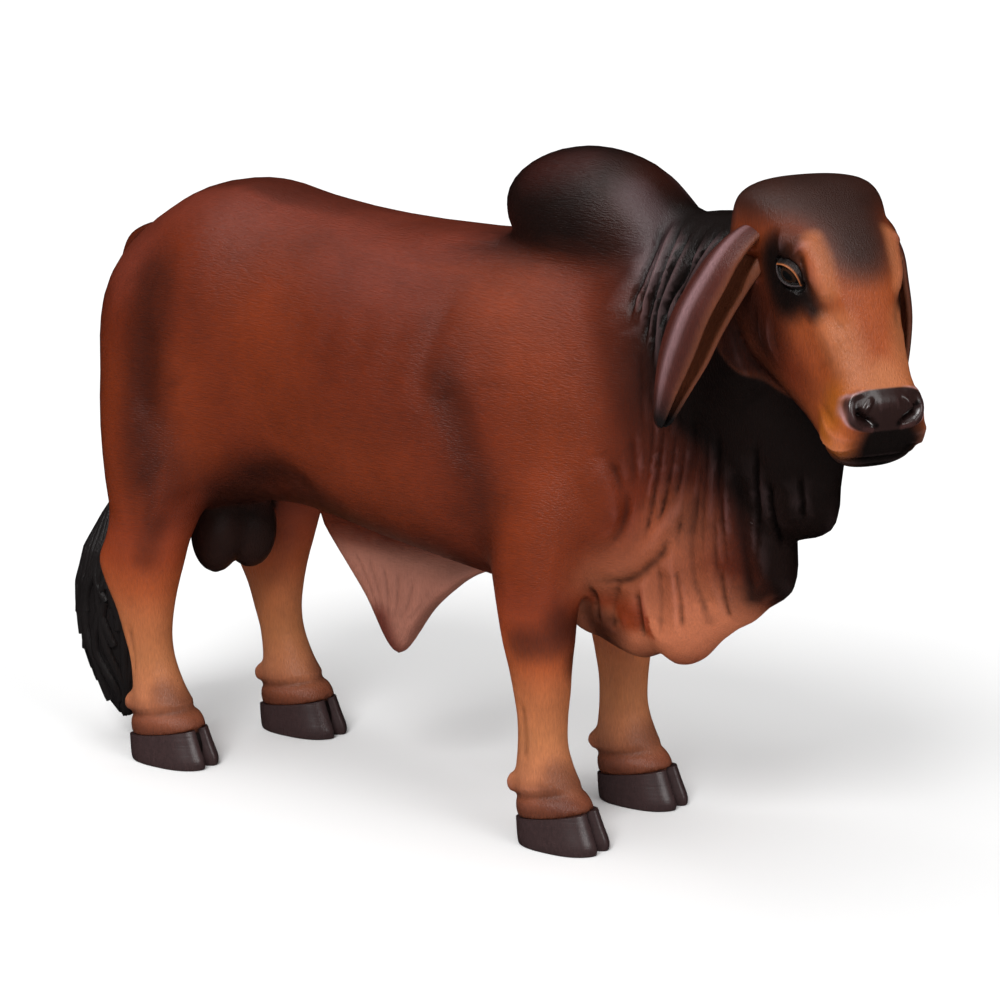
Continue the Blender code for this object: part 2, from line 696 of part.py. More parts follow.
# Eyes: a ball in its socket under two lids, on each side of the head
def eye_axis(side):
    ahead = Vector((math.cos(HEAD_YAW), math.sin(HEAD_YAW), 0.0))
    across = Vector((-math.sin(HEAD_YAW), math.cos(HEAD_YAW), 0.0))
    return (across * side * 0.86 + ahead * 0.48 + Vector((0, 0, -0.10))).normalized()


def eyelids(centre, axis, side):
    """An almond ring that stands a little proud of the skin around the eye."""
    ahead = Vector((math.cos(HEAD_YAW), math.sin(HEAD_YAW), 0.0))
    along = (ahead * 0.80 + Vector((0, 0, -0.60)))
    along = (along - axis * along.dot(axis)).normalized()
    upward = axis.cross(along) * (1 if axis.cross(along).z > 0 else -1)
    steps, sides, thick = 18, 6, 0.0065
    work = bmesh.new()
    loops = []
    for i in range(steps):
        angle = 2 * math.pi * i / steps
        lift = abs(math.sin(angle)) ** 1.2 * math.copysign(1, math.sin(angle))
        spoke = along * math.cos(angle) * 0.029 + upward * lift * 0.018
        out = axis * (0.0160 - 0.0075 * math.cos(angle) ** 2)
        loop = []
        for k in range(sides):
            turn = 2 * math.pi * k / sides
            loop.append(work.verts.new(centre + out + spoke + spoke.normalized() * thick * math.cos(turn)
                                       + axis * thick * 1.1 * math.sin(turn)))
        loops.append(loop)
    for i in range(steps):
        lower, upper = loops[i], loops[(i + 1) % steps]
        for k in range(sides):
            n = (k + 1) % sides
            work.faces.new((lower[k], lower[n], upper[n], upper[k]))
    bmesh.ops.recalc_face_normals(work, faces=work.faces)
    mesh = bpy.data.meshes.new("lids")
    work.to_mesh(mesh)
    work.free()
    return keep(mesh, "lids")


head = PIECES["head"]
for side, word in ((-1, "right"), (1, "left")):
    axis = eye_axis(side)
    aim = head_point(0.142, -0.180, side * 0.100)
    hit, spot, _, _ = head.ray_cast(aim + axis * 0.15, -axis)
    centre = spot - axis * EYE_RADIUS * 0.62
    lids = eyelids(centre, axis, side)
    head = join_all("head", [head, lids])
    bpy.ops.mesh.primitive_ico_sphere_add(subdivisions=3, radius=EYE_RADIUS)
    ball_obj = bpy.context.object
    eye_mesh = ball_obj.data
    bpy.data.objects.remove(ball_obj)
    socket = keep(eye_mesh.copy(), "socket")
    roomy = 1 + GAP / EYE_RADIUS * 1.3
    socket.data.transform(Matrix.Translation(centre) @ Matrix.Diagonal((roomy, roomy, roomy, 1)))
    eye_mesh.transform(Matrix.Translation(centre))
    combine(head, socket, "DIFFERENCE")
    drop(socket)
    head = keep_largest(head)
    PIECES["eye_" + word] = keep(eye_mesh, "eye_" + word)

# Nostrils: a slanting slit sunk into each side of the nose
for side in (-1, 1):
    def nose(forward, up, left):
        return head_point(forward, up, side * left)

    line = [nose(0.352, -0.438, 0.086), nose(0.378, -0.452, 0.070), nose(0.388, -0.470, 0.046)]
    slit = join_all("slit", [ball("slit", point, (size, size, size * 0.8), segments=12) for point, size in
                             zip(line, (0.014, 0.015, 0.012))])
    combine(head, slit, "DIFFERENCE")
    drop(slit)
head = keep_largest(head)
PIECES["head"] = head


# Ears: long folded leaves that hang from behind the poll, their cups turned forwards
EAR_LINE = [
    # forward, up, outwards, fore-and-aft half size, sideways half size
    (0.030, -0.105, 0.120, 0.026, 0.026),
    (0.034, -0.130, 0.160, 0.030, 0.026),
    (0.020, -0.175, 0.195, 0.044, 0.032),
    (0.000, -0.235, 0.224, 0.062, 0.040),
    (-0.025, -0.310, 0.250, 0.074, 0.045),
    (-0.052, -0.385, 0.268, 0.070, 0.041),
    (-0.076, -0.450, 0.279, 0.052, 0.032),
    (-0.096, -0.510, 0.287, 0.030, 0.021),
    (-0.108, -0.548, 0.290, 0.011, 0.010),
]


def ear_piece(name, side):
    drop_by, spread = (1.0, 1.0) if side < 0 else (1.13, 0.96)
    line = [(a, (b + 0.13) * drop_by - 0.13, c * spread, d, e) for a, b, c, d, e in EAR_LINE]
    rows = smoothed([(*head_point(a, b, side * c), d, e) for a, b, c, d, e in line], 2)
    ahead = Vector((math.cos(HEAD_YAW), math.sin(HEAD_YAW), 0.0))
    across = Vector((-math.sin(HEAD_YAW), math.cos(HEAD_YAW), 0.0)) * side
    rings = []
    count = len(rows)
    for i, row in enumerate(rows):
        middle, long_half, wide_half = Vector(row[0:3]), row[3], row[4]
        share = i / (count - 1)
        opening = min(max((share - 0.12) / 0.2, 0.0), 1.0)
        wall = 0.0065 + 0.006 * (1 - share)
        inner_long = max(long_half - wall, 0.004) * opening + 0.30 * long_half * (1 - opening)
        inner_wide = max(wide_half - wall, 0.003) * opening + 0.30 * wide_half * (1 - opening)
        half_arc = math.radians(118)
        steps = 8
        ring = []
        for size_a, size_b, way in ((long_half, wide_half, 1), (inner_long, inner_wide, -1)):
            for k in range(steps + 1):
                angle = half_arc * (2 * k / steps - 1) * way
                ring.append(middle - ahead * size_a * math.cos(angle) + across * size_b * math.sin(angle))
        rings.append(ring)
    return skin_rings(name, rings)


for side, word in ((-1, "right"), (1, "left")):
    PIECES["ear_" + word] = attach(ear_piece("ear_" + word, side))

# Scrotum, rooted in the groin
near_lobe = ball("lobe", (-0.590, -0.034, 0.560), (0.072, 0.056, 0.112), (0, 6, 0), 14)
far_lobe = ball("lobe", (-0.540, 0.038, 0.562), (0.074, 0.056, 0.108), (0, 6, 0), 14)
PIECES["scrotum"] = attach(join_all("scrotum", [near_lobe, far_lobe]))

# Tail: a hidden dock down the cleft of the rump, then a heavy switch by the right hock
TAIL = [
    # middle, fore-and-aft half size, sideways half size
    (-0.700, 0.000, 1.330, 0.020, 0.050),
    (-0.780, 0.000, 1.305, 0.040, 0.050),
    (-0.842, 0.000, 1.255, 0.040, 0.042),
    (-0.880, 0.000, 1.140, 0.032, 0.036),
    (-0.896, 0.000, 0.980, 0.028, 0.028),
    (-0.880, -0.010, 0.840, 0.026, 0.026),
    (-0.850, -0.030, 0.730, 0.028, 0.028),
    (-0.826, -0.055, 0.645, 0.034, 0.034),
    (-0.838, -0.095, 0.570, 0.056, 0.046),
    (-0.856, -0.118, 0.490, 0.078, 0.058),
    (-0.862, -0.128, 0.400, 0.094, 0.066),
    (-0.858, -0.130, 0.320, 0.098, 0.068),
    (-0.852, -0.132, 0.240, 0.092, 0.064),
    (-0.840, -0.134, 0.170, 0.074, 0.050),
    (-0.826, -0.138, 0.115, 0.046, 0.032),
    (-0.816, -0.140, 0.074, 0.014, 0.014),
]
LOCKS = 15                   # tapered locks laid over the core of the switch
LOCK_WIDTH = 0.021
LOCK_DEPTH = 0.013


def tail_at(height):
    """Middle and half sizes of the tail at a height in the switch."""
    rows = [row for row in TAIL if row[2] < 0.70]
    for upper, lower in zip(rows, rows[1:]):
        if height >= lower[2]:
            t = (height - lower[2]) / (upper[2] - lower[2])
            return [lower[i] + (upper[i] - lower[i]) * t for i in (0, 1, 3, 4)]
    return [rows[-1][i] for i in (0, 1, 3, 4)]


def lock(index):
    """One lock: a flat tapered strand that starts under the dock and bends with the core."""
    turn = math.pi * (0.42 + 1.30 * ((index * 0.618) % 1.0))
    top = 0.60 - 0.24 * ((index * 0.377) % 1.0)
    length = 0.26 + 0.10 * ((index * 0.731) % 1.0)
    bend = 0.55 * (((index * 0.529) % 1.0) - 0.3)
    rings = []
    for step in range(7):
        share = step / 6
        height = max(top - length * share, 0.084)
        x, y, long_half, wide_half = tail_at(height)
        angle = turn + bend * share + 0.18 * math.sin(5.0 * share + index)
        out = Vector((math.cos(angle), math.sin(angle), 0.0))
        lift = 1.0 - 0.10 * share
        middle = Vector((x + long_half * lift * out.x, y + wide_half * lift * out.y, height))
        across = Vector((-out.y, out.x, 0.0))
        size = math.sin(math.pi * min(0.12 + 0.80 * share, 0.93)) ** 0.7
        ring = []
        for k in range(5):
            around = 2 * math.pi * k / 5
            ring.append(middle + across * LOCK_WIDTH * size * math.cos(around)
                        + out * LOCK_DEPTH * size * math.sin(around))
        rings.append(ring)
    return skin_rings("lock", rings)


core = loft("tail", [(a + d, b, c, a - d, b, c, e, 2.1, 0.5, 0) for a, b, c, d, e in TAIL], 12, 2)
PIECES["tail"] = attach(join_all("tail", [core] + [lock(index) for index in range(LOCKS)]))

# Colours of the pieces, and the origin under the middle of the statue
PAINTS = {
    "torso": ("mahogany_paint", MAHOGANY, 0.42),
    "hoof": ("hoof_paint", HORN_BROWN, 0.30),
    "leg": ("leg_paint", TAN, 0.45),
    "hump": ("hump_paint", NEAR_BLACK, 0.38),
    "tail": ("switch_paint", NEAR_BLACK, 0.45),
    "scrotum": ("switch_paint", NEAR_BLACK, 0.45),
    "sheath": ("sheath_paint", PINK_TAN, 0.45),
    "eye": ("eye_paint", NEAR_BLACK, 0.08),
    "neck": ("mahogany_paint", MAHOGANY, 0.42),
    "dewlap": ("leg_paint", TAN, 0.45),
    "head": ("face_paint", TAN, 0.40),
    "ear": ("ear_paint", MAHOGANY, 0.32),
}
materials = {}
drop(shell)
corners = [point for piece in PIECES.values() for point in (v.co for v in piece.data.vertices)]
low = Vector([min(point[i] for point in corners) for i in range(3)])
high = Vector([max(point[i] for point in corners) for i in range(3)])
home = Matrix.Translation(Vector((-(low.x + high.x) / 2, -(low.y + high.y) / 2, -low.z)))
for name, piece in PIECES.items():
    label, colour, roughness = PAINTS[name.split("_")[0]]
    if label not in materials:
        materials[label] = paint(label, colour, roughness)
    piece.data.transform(home)
    piece.data.materials.clear()
    piece.data.materials.append(materials[label])
    piece.name = name
    tools.objects.unlink(piece)
    statue.objects.link(piece)
    piece.hide_render = False
    piece.display_type = "TEXTURED"
    piece.data.shade_smooth()
    piece.data.set_sharp_from_angle(angle=math.radians(50))
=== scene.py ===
import math

import bmesh
import bpy
import numpy as np
from mathutils import Matrix, Vector
from mathutils.bvhtree import BVHTree


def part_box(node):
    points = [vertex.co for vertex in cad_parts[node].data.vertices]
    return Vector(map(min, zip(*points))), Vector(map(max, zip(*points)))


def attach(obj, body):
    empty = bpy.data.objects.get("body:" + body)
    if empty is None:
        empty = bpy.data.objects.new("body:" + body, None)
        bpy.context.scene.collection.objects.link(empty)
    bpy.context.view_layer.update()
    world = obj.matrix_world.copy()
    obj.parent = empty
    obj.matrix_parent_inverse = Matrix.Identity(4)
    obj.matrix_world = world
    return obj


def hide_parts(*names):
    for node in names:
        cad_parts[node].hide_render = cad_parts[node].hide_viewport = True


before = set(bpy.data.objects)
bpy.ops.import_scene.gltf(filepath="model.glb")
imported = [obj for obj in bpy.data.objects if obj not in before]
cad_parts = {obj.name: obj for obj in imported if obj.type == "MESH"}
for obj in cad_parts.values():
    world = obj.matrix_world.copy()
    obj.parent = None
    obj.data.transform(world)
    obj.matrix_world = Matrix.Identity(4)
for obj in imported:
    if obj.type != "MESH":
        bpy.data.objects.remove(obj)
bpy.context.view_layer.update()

# Skin
# One cast skin of glass fibre and resin, from the poll to the coronets. Its masses are
# lofted between a few sections, fused, and then worked with pressed and raised strokes.
SKIN_NODES = ["torso", "neck", "head", "hump", "dewlap", "sheath", "scrotum",
              "leg_front_right", "leg_front_left", "leg_hind_right", "leg_hind_left"]
FUSE_CELL = 0.01
SKIN_TRIANGLES = 194000
HOOF_HEIGHT = 0.08
HOOF_SLOPE = math.radians(10.0)
FEET = {
    "front_right": (0.569, -0.192),
    "front_left": (0.531, 0.202),
    "hind_right": (-0.6, -0.203),
    "hind_left": (-0.503, 0.193),
}
POLL = Vector((1.186, -0.17, 1.632))
HEAD_YAW = math.radians(-28.5)
AHEAD = Vector((math.cos(HEAD_YAW), math.sin(HEAD_YAW), 0.0))
ACROSS = Vector((-math.sin(HEAD_YAW), math.cos(HEAD_YAW), 0.0))

# The masses are drafted about the middle of the chest, and HOME carries them to the frame
DRAFT_HOOF = (0.56985, -0.192)
foot_low, foot_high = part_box("hoof_front_right")
HOME = Matrix.Translation(((foot_low[0] + foot_high[0]) / 2 - DRAFT_HOOF[0],
                           (foot_low[1] + foot_high[1]) / 2 - DRAFT_HOOF[1], 0.0))


def keep(mesh, name):
    obj = bpy.data.objects.new(name, mesh)
    bpy.context.scene.collection.objects.link(obj)
    return obj


def settle(obj):
    """Turns an object's modifiers into its plain mesh."""
    graph = bpy.context.evaluated_depsgraph_get()
    mesh = bpy.data.meshes.new_from_object(obj.evaluated_get(graph))
    obj.modifiers.clear()
    obj.data = mesh


def smoothed(values, steps):
    """A smooth run through rows of numbers, with extra rows between them."""
    rows = np.array(values, dtype=float)
    rows = np.vstack([2 * rows[0] - rows[1], rows, 2 * rows[-1] - rows[-2]])
    out = []
    for i in range(1, len(rows) - 2):
        p0, p1, p2, p3 = rows[i - 1:i + 3]
        for k in range(steps):
            t = k / steps
            out.append(0.5 * (2 * p1 + (p2 - p0) * t + (2 * p0 - 5 * p1 + 4 * p2 - p3) * t ** 2
                              + (3 * p1 - p0 - 3 * p2 + p3) * t ** 3))
    out.append(rows[-2])
    return np.array(out)


def superellipse(angle, power):
    c, s = math.cos(angle), math.sin(angle)
    return (math.copysign(abs(c) ** (2 / power), c), math.copysign(abs(s) ** (2 / power), s))


def skin_rings(name, rings):
    """A closed mesh through rings of like point counts."""
    work = bmesh.new()
    loops = [[work.verts.new(point) for point in ring] for ring in rings]
    count = len(loops[0])
    for lower, upper in zip(loops, loops[1:]):
        for k in range(count):
            n = (k + 1) % count
            work.faces.new((lower[k], lower[n], upper[n], upper[k]))
    work.faces.new(list(reversed(loops[0])))
    work.faces.new(loops[-1])
    bmesh.ops.recalc_face_normals(work, faces=work.faces)
    mesh = bpy.data.meshes.new(name)
    work.to_mesh(mesh)
    work.free()
    return keep(mesh, name)


def loft(name, sections, sides=32, steps=4):
    """A soft mass through sections: high end, low end, half width, fullness, widest, yaw."""
    rings = []
    for row in smoothed(sections, steps):
        high, low = Vector(row[0:3]), Vector(row[3:6])
        half, power, widest, yaw = row[6:10]
        middle = low.lerp(high, widest)
        across = Vector((-math.sin(yaw), math.cos(yaw), 0.0))
        ring = []
        for k in range(sides):
            side, rise = superellipse(2 * math.pi * k / sides, max(power, 1.6))
            end = high if rise > 0 else low
            ring.append(middle + across * (half * side) + (end - middle) * abs(rise))
        rings.append(ring)
    return skin_rings(name, rings)


def ball(name, centre, radii, turn=0.0):
    """An egg-shaped mass, turned by degrees about Y."""
    work = bmesh.new()
    bmesh.ops.create_uvsphere(work, u_segments=28, v_segments=16, radius=1.0)
    mesh = bpy.data.meshes.new(name)
    work.to_mesh(mesh)
    work.free()
    tilt = Matrix.Rotation(math.radians(turn), 4, "Y")
    mesh.transform(Matrix.Translation(centre) @ tilt @ Matrix.Diagonal((*radii, 1.0)))
    return keep(mesh, name)


# Torso: top line, belly line and width, from the rump to the front of the chest
def torso_mass():
    rows = [
        # x top, z top, x low, z low, half width, fullness, widest
        (-0.845, 1.16, -0.845, 1.02, 0.08, 2.2, 0.5),
        (-0.838, 1.215, -0.845, 0.88, 0.155, 2.3, 0.5),
        (-0.806, 1.268, -0.815, 0.78, 0.21, 2.4, 0.5),
        (-0.755, 1.322, -0.76, 0.7, 0.247, 2.4, 0.5),
        (-0.68, 1.376, -0.68, 0.64, 0.27, 2.4, 0.52),
        (-0.58, 1.43, -0.58, 0.62, 0.283, 2.4, 0.56),
        (-0.46, 1.45, -0.44, 0.655, 0.288, 2.4, 0.58),
        (-0.32, 1.43, -0.3, 0.668, 0.285, 2.3, 0.52),
        (-0.16, 1.41, -0.15, 0.655, 0.298, 2.3, 0.46),
        (0.0, 1.4, 0.0, 0.63, 0.312, 2.3, 0.44),
        (0.16, 1.398, 0.15, 0.606, 0.314, 2.3, 0.44),
        (0.3, 1.402, 0.3, 0.58, 0.302, 2.3, 0.46),
        (0.44, 1.41, 0.44, 0.56, 0.28, 2.3, 0.48),
        (0.58, 1.41, 0.58, 0.56, 0.258, 2.2, 0.48),
        (0.7, 1.38, 0.69, 0.57, 0.232, 2.2, 0.48),
        (0.8, 1.29, 0.78, 0.62, 0.185, 2.1, 0.48),
        (0.87, 1.12, 0.85, 0.76, 0.11, 2.0, 0.5),
    ]
    return loft("torso_mass", [(a, 0, b, c, 0, d, e, f, g, 0) for a, b, c, d, e, f, g in rows], 40)


def hump_mass():
    rows = [
        (0.312, 1.5, 0.32, 1.44, 0.04, 2.2),
        (0.324, 1.53, 0.33, 1.41, 0.078, 2.2),
        (0.352, 1.562, 0.355, 1.38, 0.106, 2.2),
        (0.408, 1.594, 0.405, 1.33, 0.13, 2.2),
        (0.48, 1.612, 0.48, 1.29, 0.145, 2.2),
        (0.56, 1.612, 0.56, 1.27, 0.15, 2.2),
        (0.635, 1.594, 0.64, 1.26, 0.146, 2.2),
        (0.7, 1.56, 0.715, 1.25, 0.134, 2.2),
        (0.755, 1.512, 0.79, 1.25, 0.118, 2.1),
        (0.83, 1.48, 0.85, 1.28, 0.085, 2.0),
    ]
    return loft("hump_mass", [(a, 0, b, c, 0, d, e, f, 0.5, 0) for a, b, c, d, e, f in rows])


# Neck: crest, throat and width, bending towards the bull's right
def neck_mass():
    turn = math.radians
    rows = [
        (0.56, 0.0, 1.4, 0.6, 0.0, 0.64, 0.23, 2.2, 0.5, 0),
        (0.73, 0.0, 1.47, 0.78, 0.0, 0.7, 0.222, 2.2, 0.5, 0),
        (0.85, -0.015, 1.5, 0.9, -0.015, 0.82, 0.2, 2.2, 0.52, turn(-6)),
        (0.94, -0.05, 1.512, 0.99, -0.06, 0.93, 0.175, 2.2, 0.54, turn(-13)),
        (1.02, -0.095, 1.518, 1.07, -0.11, 1.04, 0.155, 2.2, 0.56, turn(-20)),
        (1.1, -0.135, 1.5, 1.13, -0.15, 1.14, 0.135, 2.2, 0.56, turn(-27)),
    ]
    return loft("neck_mass", rows)


# Dewlap: a heavy curtain of skin from the brisket up to the throat
def dewlap_mass():
    rows = [
        # root in the chest or neck, free edge, half width near the root, fullness
        (0.42, 0.0, 0.64, 0.42, 0.0, 0.54, 0.06, 2.2),
        (0.5, 0.0, 0.68, 0.5, 0.0, 0.472, 0.085, 2.1),
        (0.56, 0.0, 0.715, 0.56, 0.0, 0.458, 0.105, 2.0),
        (0.615, 0.0, 0.755, 0.622, 0.0, 0.436, 0.125, 1.95),
        (0.66, 0.0, 0.79, 0.68, -0.005, 0.428, 0.14, 1.9),
        (0.695, 0.0, 0.82, 0.736, -0.01, 0.45, 0.148, 1.9),
        (0.73, 0.0, 0.855, 0.785, -0.015, 0.43, 0.155, 1.85),
        (0.765, 0.0, 0.89, 0.842, -0.02, 0.452, 0.158, 1.8),
        (0.795, -0.01, 0.925, 0.888, -0.02, 0.5, 0.158, 1.75),
        (0.82, -0.02, 0.96, 0.935, -0.02, 0.538, 0.155, 1.75),
        (0.84, -0.02, 0.99, 0.985, -0.025, 0.566, 0.15, 1.75),
        (0.858, -0.03, 1.015, 1.024, -0.025, 0.604, 0.146, 1.75),
        (0.872, -0.03, 1.035, 1.075, -0.035, 0.636, 0.142, 1.75),
        (0.886, -0.04, 1.055, 1.096, -0.045, 0.668, 0.138, 1.75),
        (0.9, -0.05, 1.078, 1.096, -0.05, 0.72, 0.134, 1.75),
        (0.914, -0.05, 1.098, 1.1, -0.055, 0.772, 0.13, 1.75),
        (0.93, -0.06, 1.118, 1.145, -0.065, 0.79, 0.126, 1.75),
        (0.946, -0.07, 1.138, 1.2, -0.075, 0.81, 0.12, 1.75),
        (0.964, -0.08, 1.165, 1.232, -0.088, 0.85, 0.115, 1.75),
        (0.984, -0.09, 1.195, 1.24, -0.095, 0.915, 0.11, 1.75),
        (1.02, -0.1, 1.24, 1.258, -0.11, 1.0, 0.1, 1.75),
        (1.06, -0.12, 1.28, 1.258, -0.14, 1.09, 0.09, 1.8),
    ]
    sections = [(a, b, c, d, e, f, g, h, 0.78, 0) for a, b, c, d, e, f, g, h in rows]
    return loft("dewlap_mass", sections, steps=3)


def head_point(forward, up, left=0.0):
    """A point given along the face, upwards and to the head's left, from the poll."""
    return POLL + AHEAD * forward + ACROSS * left + Vector((0, 0, up))


def head_mass():
    rows = [
        # forehead line, jaw line, half width, fullness, widest
        (-0.085, -0.06, -0.12, -0.2, 0.08, 2.2, 0.6),
        (-0.06, -0.016, -0.13, -0.3, 0.135, 2.4, 0.75),
        (0.0, 0.0, -0.118, -0.378, 0.16, 2.7, 0.84),
        (0.07, -0.006, -0.078, -0.428, 0.16, 2.7, 0.82),
        (0.14, -0.04, -0.02, -0.463, 0.144, 2.5, 0.75),
        (0.203, -0.088, 0.036, -0.49, 0.136, 2.4, 0.71),
        (0.244, -0.142, 0.084, -0.512, 0.122, 2.4, 0.66),
        (0.271, -0.204, 0.124, -0.533, 0.106, 2.4, 0.6),
        (0.292, -0.262, 0.16, -0.552, 0.097, 2.5, 0.56),
        (0.313, -0.32, 0.195, -0.572, 0.093, 2.6, 0.54),
        (0.335, -0.375, 0.234, -0.586, 0.1, 2.7, 0.54),
        (0.351, -0.412, 0.274, -0.59, 0.106, 2.7, 0.55),
        (0.361, -0.445, 0.31, -0.58, 0.102, 2.6, 0.56),
        (0.359, -0.474, 0.336, -0.553, 0.066, 2.3, 0.56),
    ]
    sections = []
    for a, b, c, d, half, power, widest in rows:
        high, low = head_point(a, b), head_point(c, d)
        sections.append((*high, *low, half, power, widest, HEAD_YAW))
    return loft("head_mass", sections, 40)


# Legs: height, middle ahead of the foot, half length, half width, middle outwards
FRONT_LEG = [
    (1.02, -0.05, 0.15, 0.08, -0.05),
    (0.9, -0.045, 0.165, 0.105, -0.03),
    (0.8, -0.055, 0.152, 0.108, -0.012),
    (0.7, -0.066, 0.126, 0.098, 0.0),
    (0.6, -0.07, 0.106, 0.088, 0.004),
    (0.5, -0.068, 0.09, 0.077, 0.002),
    (0.42, -0.063, 0.075, 0.068, 0.0),
    (0.36, -0.058, 0.067, 0.062, 0.0),
    (0.3, -0.056, 0.06, 0.055, 0.0),
    (0.235, -0.055, 0.06, 0.054, 0.0),
    (0.18, -0.048, 0.071, 0.06, 0.0),
    (0.14, -0.039, 0.083, 0.066, 0.0),
    (0.1, -0.022, 0.094, 0.07, 0.0),
    (0.06, -0.01, 0.1, 0.072, 0.0),
    (0.02, 0.0, 0.1, 0.07, 0.0),
]
HIND_LEG = [
    (1.08, -0.03, 0.15, 0.08, -0.07),
    (0.96, -0.035, 0.196, 0.115, -0.05),
    (0.84, -0.042, 0.172, 0.128, -0.035),
    (0.72, -0.05, 0.142, 0.118, -0.02),
    (0.63, -0.05, 0.12, 0.1, -0.008),
    (0.56, -0.07, 0.113, 0.086, 0.0),
    (0.5, -0.092, 0.118, 0.078, 0.0),
    (0.44, -0.092, 0.1, 0.068, 0.0),
    (0.375, -0.083, 0.077, 0.058, 0.0),
    (0.314, -0.076, 0.064, 0.052, 0.0),
    (0.255, -0.062, 0.059, 0.05, 0.0),
    (0.19, -0.044, 0.068, 0.057, 0.0),
    (0.145, -0.029, 0.084, 0.065, 0.0),
    (0.1, -0.016, 0.099, 0.071, 0.0),
    (0.06, -0.004, 0.106, 0.074, 0.0),
    (0.02, 0.004, 0.106, 0.072, 0.0),
]


def leg_mass(corner):
    x, y = FEET[corner]
    outwards = 1 if y > 0 else -1
    table = FRONT_LEG if corner.startswith("front") else HIND_LEG
    sections = []
    for z, ahead, length, half, out in table:
        side = y + outwards * out
        middle = x + ahead
        sections.append((middle + length, side, z, middle - length, side, z, half, 2.2, 0.5, 0))
    return loft("leg_mass_" + corner, sections, 28)


def dewclaws(corner):
    x, y = FEET[corner]
    back = x - 0.115 if corner.startswith("front") else x - 0.108
    return [ball("dewclaw", (back, y + side * 0.028, 0.14), (0.024, 0.02, 0.026)) for side in (-1, 1)]


def sheath_mass():
    rows = [
        (-0.29, 0, 0.72, -0.26, 0, 0.605, 0.034),
        (-0.2, 0, 0.7, -0.19, 0, 0.52, 0.044),
        (-0.1, 0, 0.68, -0.13, 0, 0.44, 0.048),
        (0.0, 0, 0.66, -0.074, 0, 0.338, 0.046),
        (0.08, 0, 0.64, -0.03, 0, 0.326, 0.044),
        (0.16, 0, 0.61, 0.04, 0, 0.43, 0.04),
        (0.24, 0, 0.6, 0.15, 0, 0.53, 0.034),
        (0.3, 0, 0.6, 0.25, 0, 0.58, 0.028),
    ]
    return loft("sheath_mass", [(a, b, c, d, e, f, g, 2.2, 0.5, 0) for a, b, c, d, e, f, g in rows], 24)


def share_on_head(points):
    into = (points - np.array(POLL)) @ np.array(AHEAD) + 0.16
    into = into + 0.3 * np.maximum(0.0, 1.2 - points[:, 2])
    return np.where(points[:, 2] > 1.02, np.clip(into / 0.08, 0, 1), 0.0)


def share_on_legs(points):
    return np.clip((0.62 - points[:, 2]) / 0.12, 0, 1)


def share_on_joins(points):
    """1 where shoulders, thighs, hump and throat run into the trunk."""
    x, side, z = points[:, 0], np.abs(points[:, 1]), points[:, 2]
    joins = [
        ((x - 0.5) / 0.34, (side - 0.22) / 0.22, (z - 0.86) / 0.34),
        ((x + 0.62) / 0.34, (side - 0.22) / 0.22, (z - 0.86) / 0.3),
        ((x - 0.85) / 0.22, (side - 0.15) / 0.22, (z - 1.05) / 0.36),
        ((x - 0.62) / 0.3, side / 0.3, (z - 1.36) / 0.07),
    ]
    reach = np.min([a * a + b * b + c * c for a, b, c in joins], axis=0)
    return np.clip(1.35 - reach, 0, 1) * (1 - share_on_head(points))


def points_of(mesh):
    flat = np.empty(len(mesh.vertices) * 3)
    mesh.vertices.foreach_get("co", flat)
    return flat.reshape(-1, 3)


def weigh(obj, name, weights):
    """A vertex group from one weight for each point, in 50 even levels."""
    group = obj.vertex_groups.new(name=name)
    levels = np.round(weights * 50).astype(int)
    for level in range(1, 51):
        chosen = np.nonzero(levels == level)[0].tolist()
        if chosen:
            group.add(chosen, level / 50, "REPLACE")


def relax(obj, weights, passes):
    weigh(obj, "relax", weights)
    step = obj.modifiers.new("relax", "SMOOTH")
    step.factor = 0.6
    step.iterations = passes
    step.vertex_group = "relax"
    settle(obj)
    obj.vertex_groups.clear()


masses = [torso_mass(), hump_mass(), neck_mass(), dewlap_mass(), head_mass(), sheath_mass()]
for corner in FEET:
    masses.append(leg_mass(corner))
    masses += dewclaws(corner)
masses.append(ball("lobe", (-0.59, -0.034, 0.56), (0.072, 0.056, 0.112), 6))
masses.append(ball("lobe", (-0.54, 0.038, 0.562), (0.074, 0.056, 0.108), 6))
masses.append(ball("cord", (-0.56, 0.0, 0.64), (0.06, 0.05, 0.06)))
work = bmesh.new()
for mass in masses:
    work.from_mesh(mass.data)
    bpy.data.objects.remove(mass)
skin_mesh = bpy.data.meshes.new("cast_skin")
work.to_mesh(skin_mesh)
work.free()
skin = keep(skin_mesh, "cast_skin")
fuse = skin.modifiers.new("fuse", "REMESH")
fuse.mode = "VOXEL"
fuse.voxel_size = FUSE_CELL
settle(skin)
here = points_of(skin.data)
relax(skin, 1 - 0.8 * np.maximum(share_on_head(here), share_on_legs(here)), 14)
relax(skin, share_on_joins(points_of(skin.data)), 70)

# The skin's relief: every stroke is given on the side view or on the head, and falls on
# the skin from outside, so that it lies on it wherever the mass is
form = BVHTree.FromObject(skin, bpy.context.evaluated_depsgraph_get())
finer = skin.modifiers.new("finer", "SUBSURF")
finer.levels = 1
finer.render_levels = 1
settle(skin)


def fall(start, way):
    """The point of the skin straight ahead of start."""
    spot = form.ray_cast(start, way)[0]
    if spot is None:
        spot = form.find_nearest(start + way * 0.5)[0]
    return spot


def dense(line):
    """A plane line with about a point a centimetre, so that what is dropped follows the skin."""
    rows = smoothed(line, 8) if len(line) > 2 else np.linspace(line[0], line[-1], 9)
    return [tuple(row) for row in rows]


def on_side(line, side):
    """Points given along and up the body, dropped on its right (-1) or left (1) side."""
    return [fall(Vector((x, side * 0.8, z)), Vector((0, -side, 0))) for x, z in dense(line)]


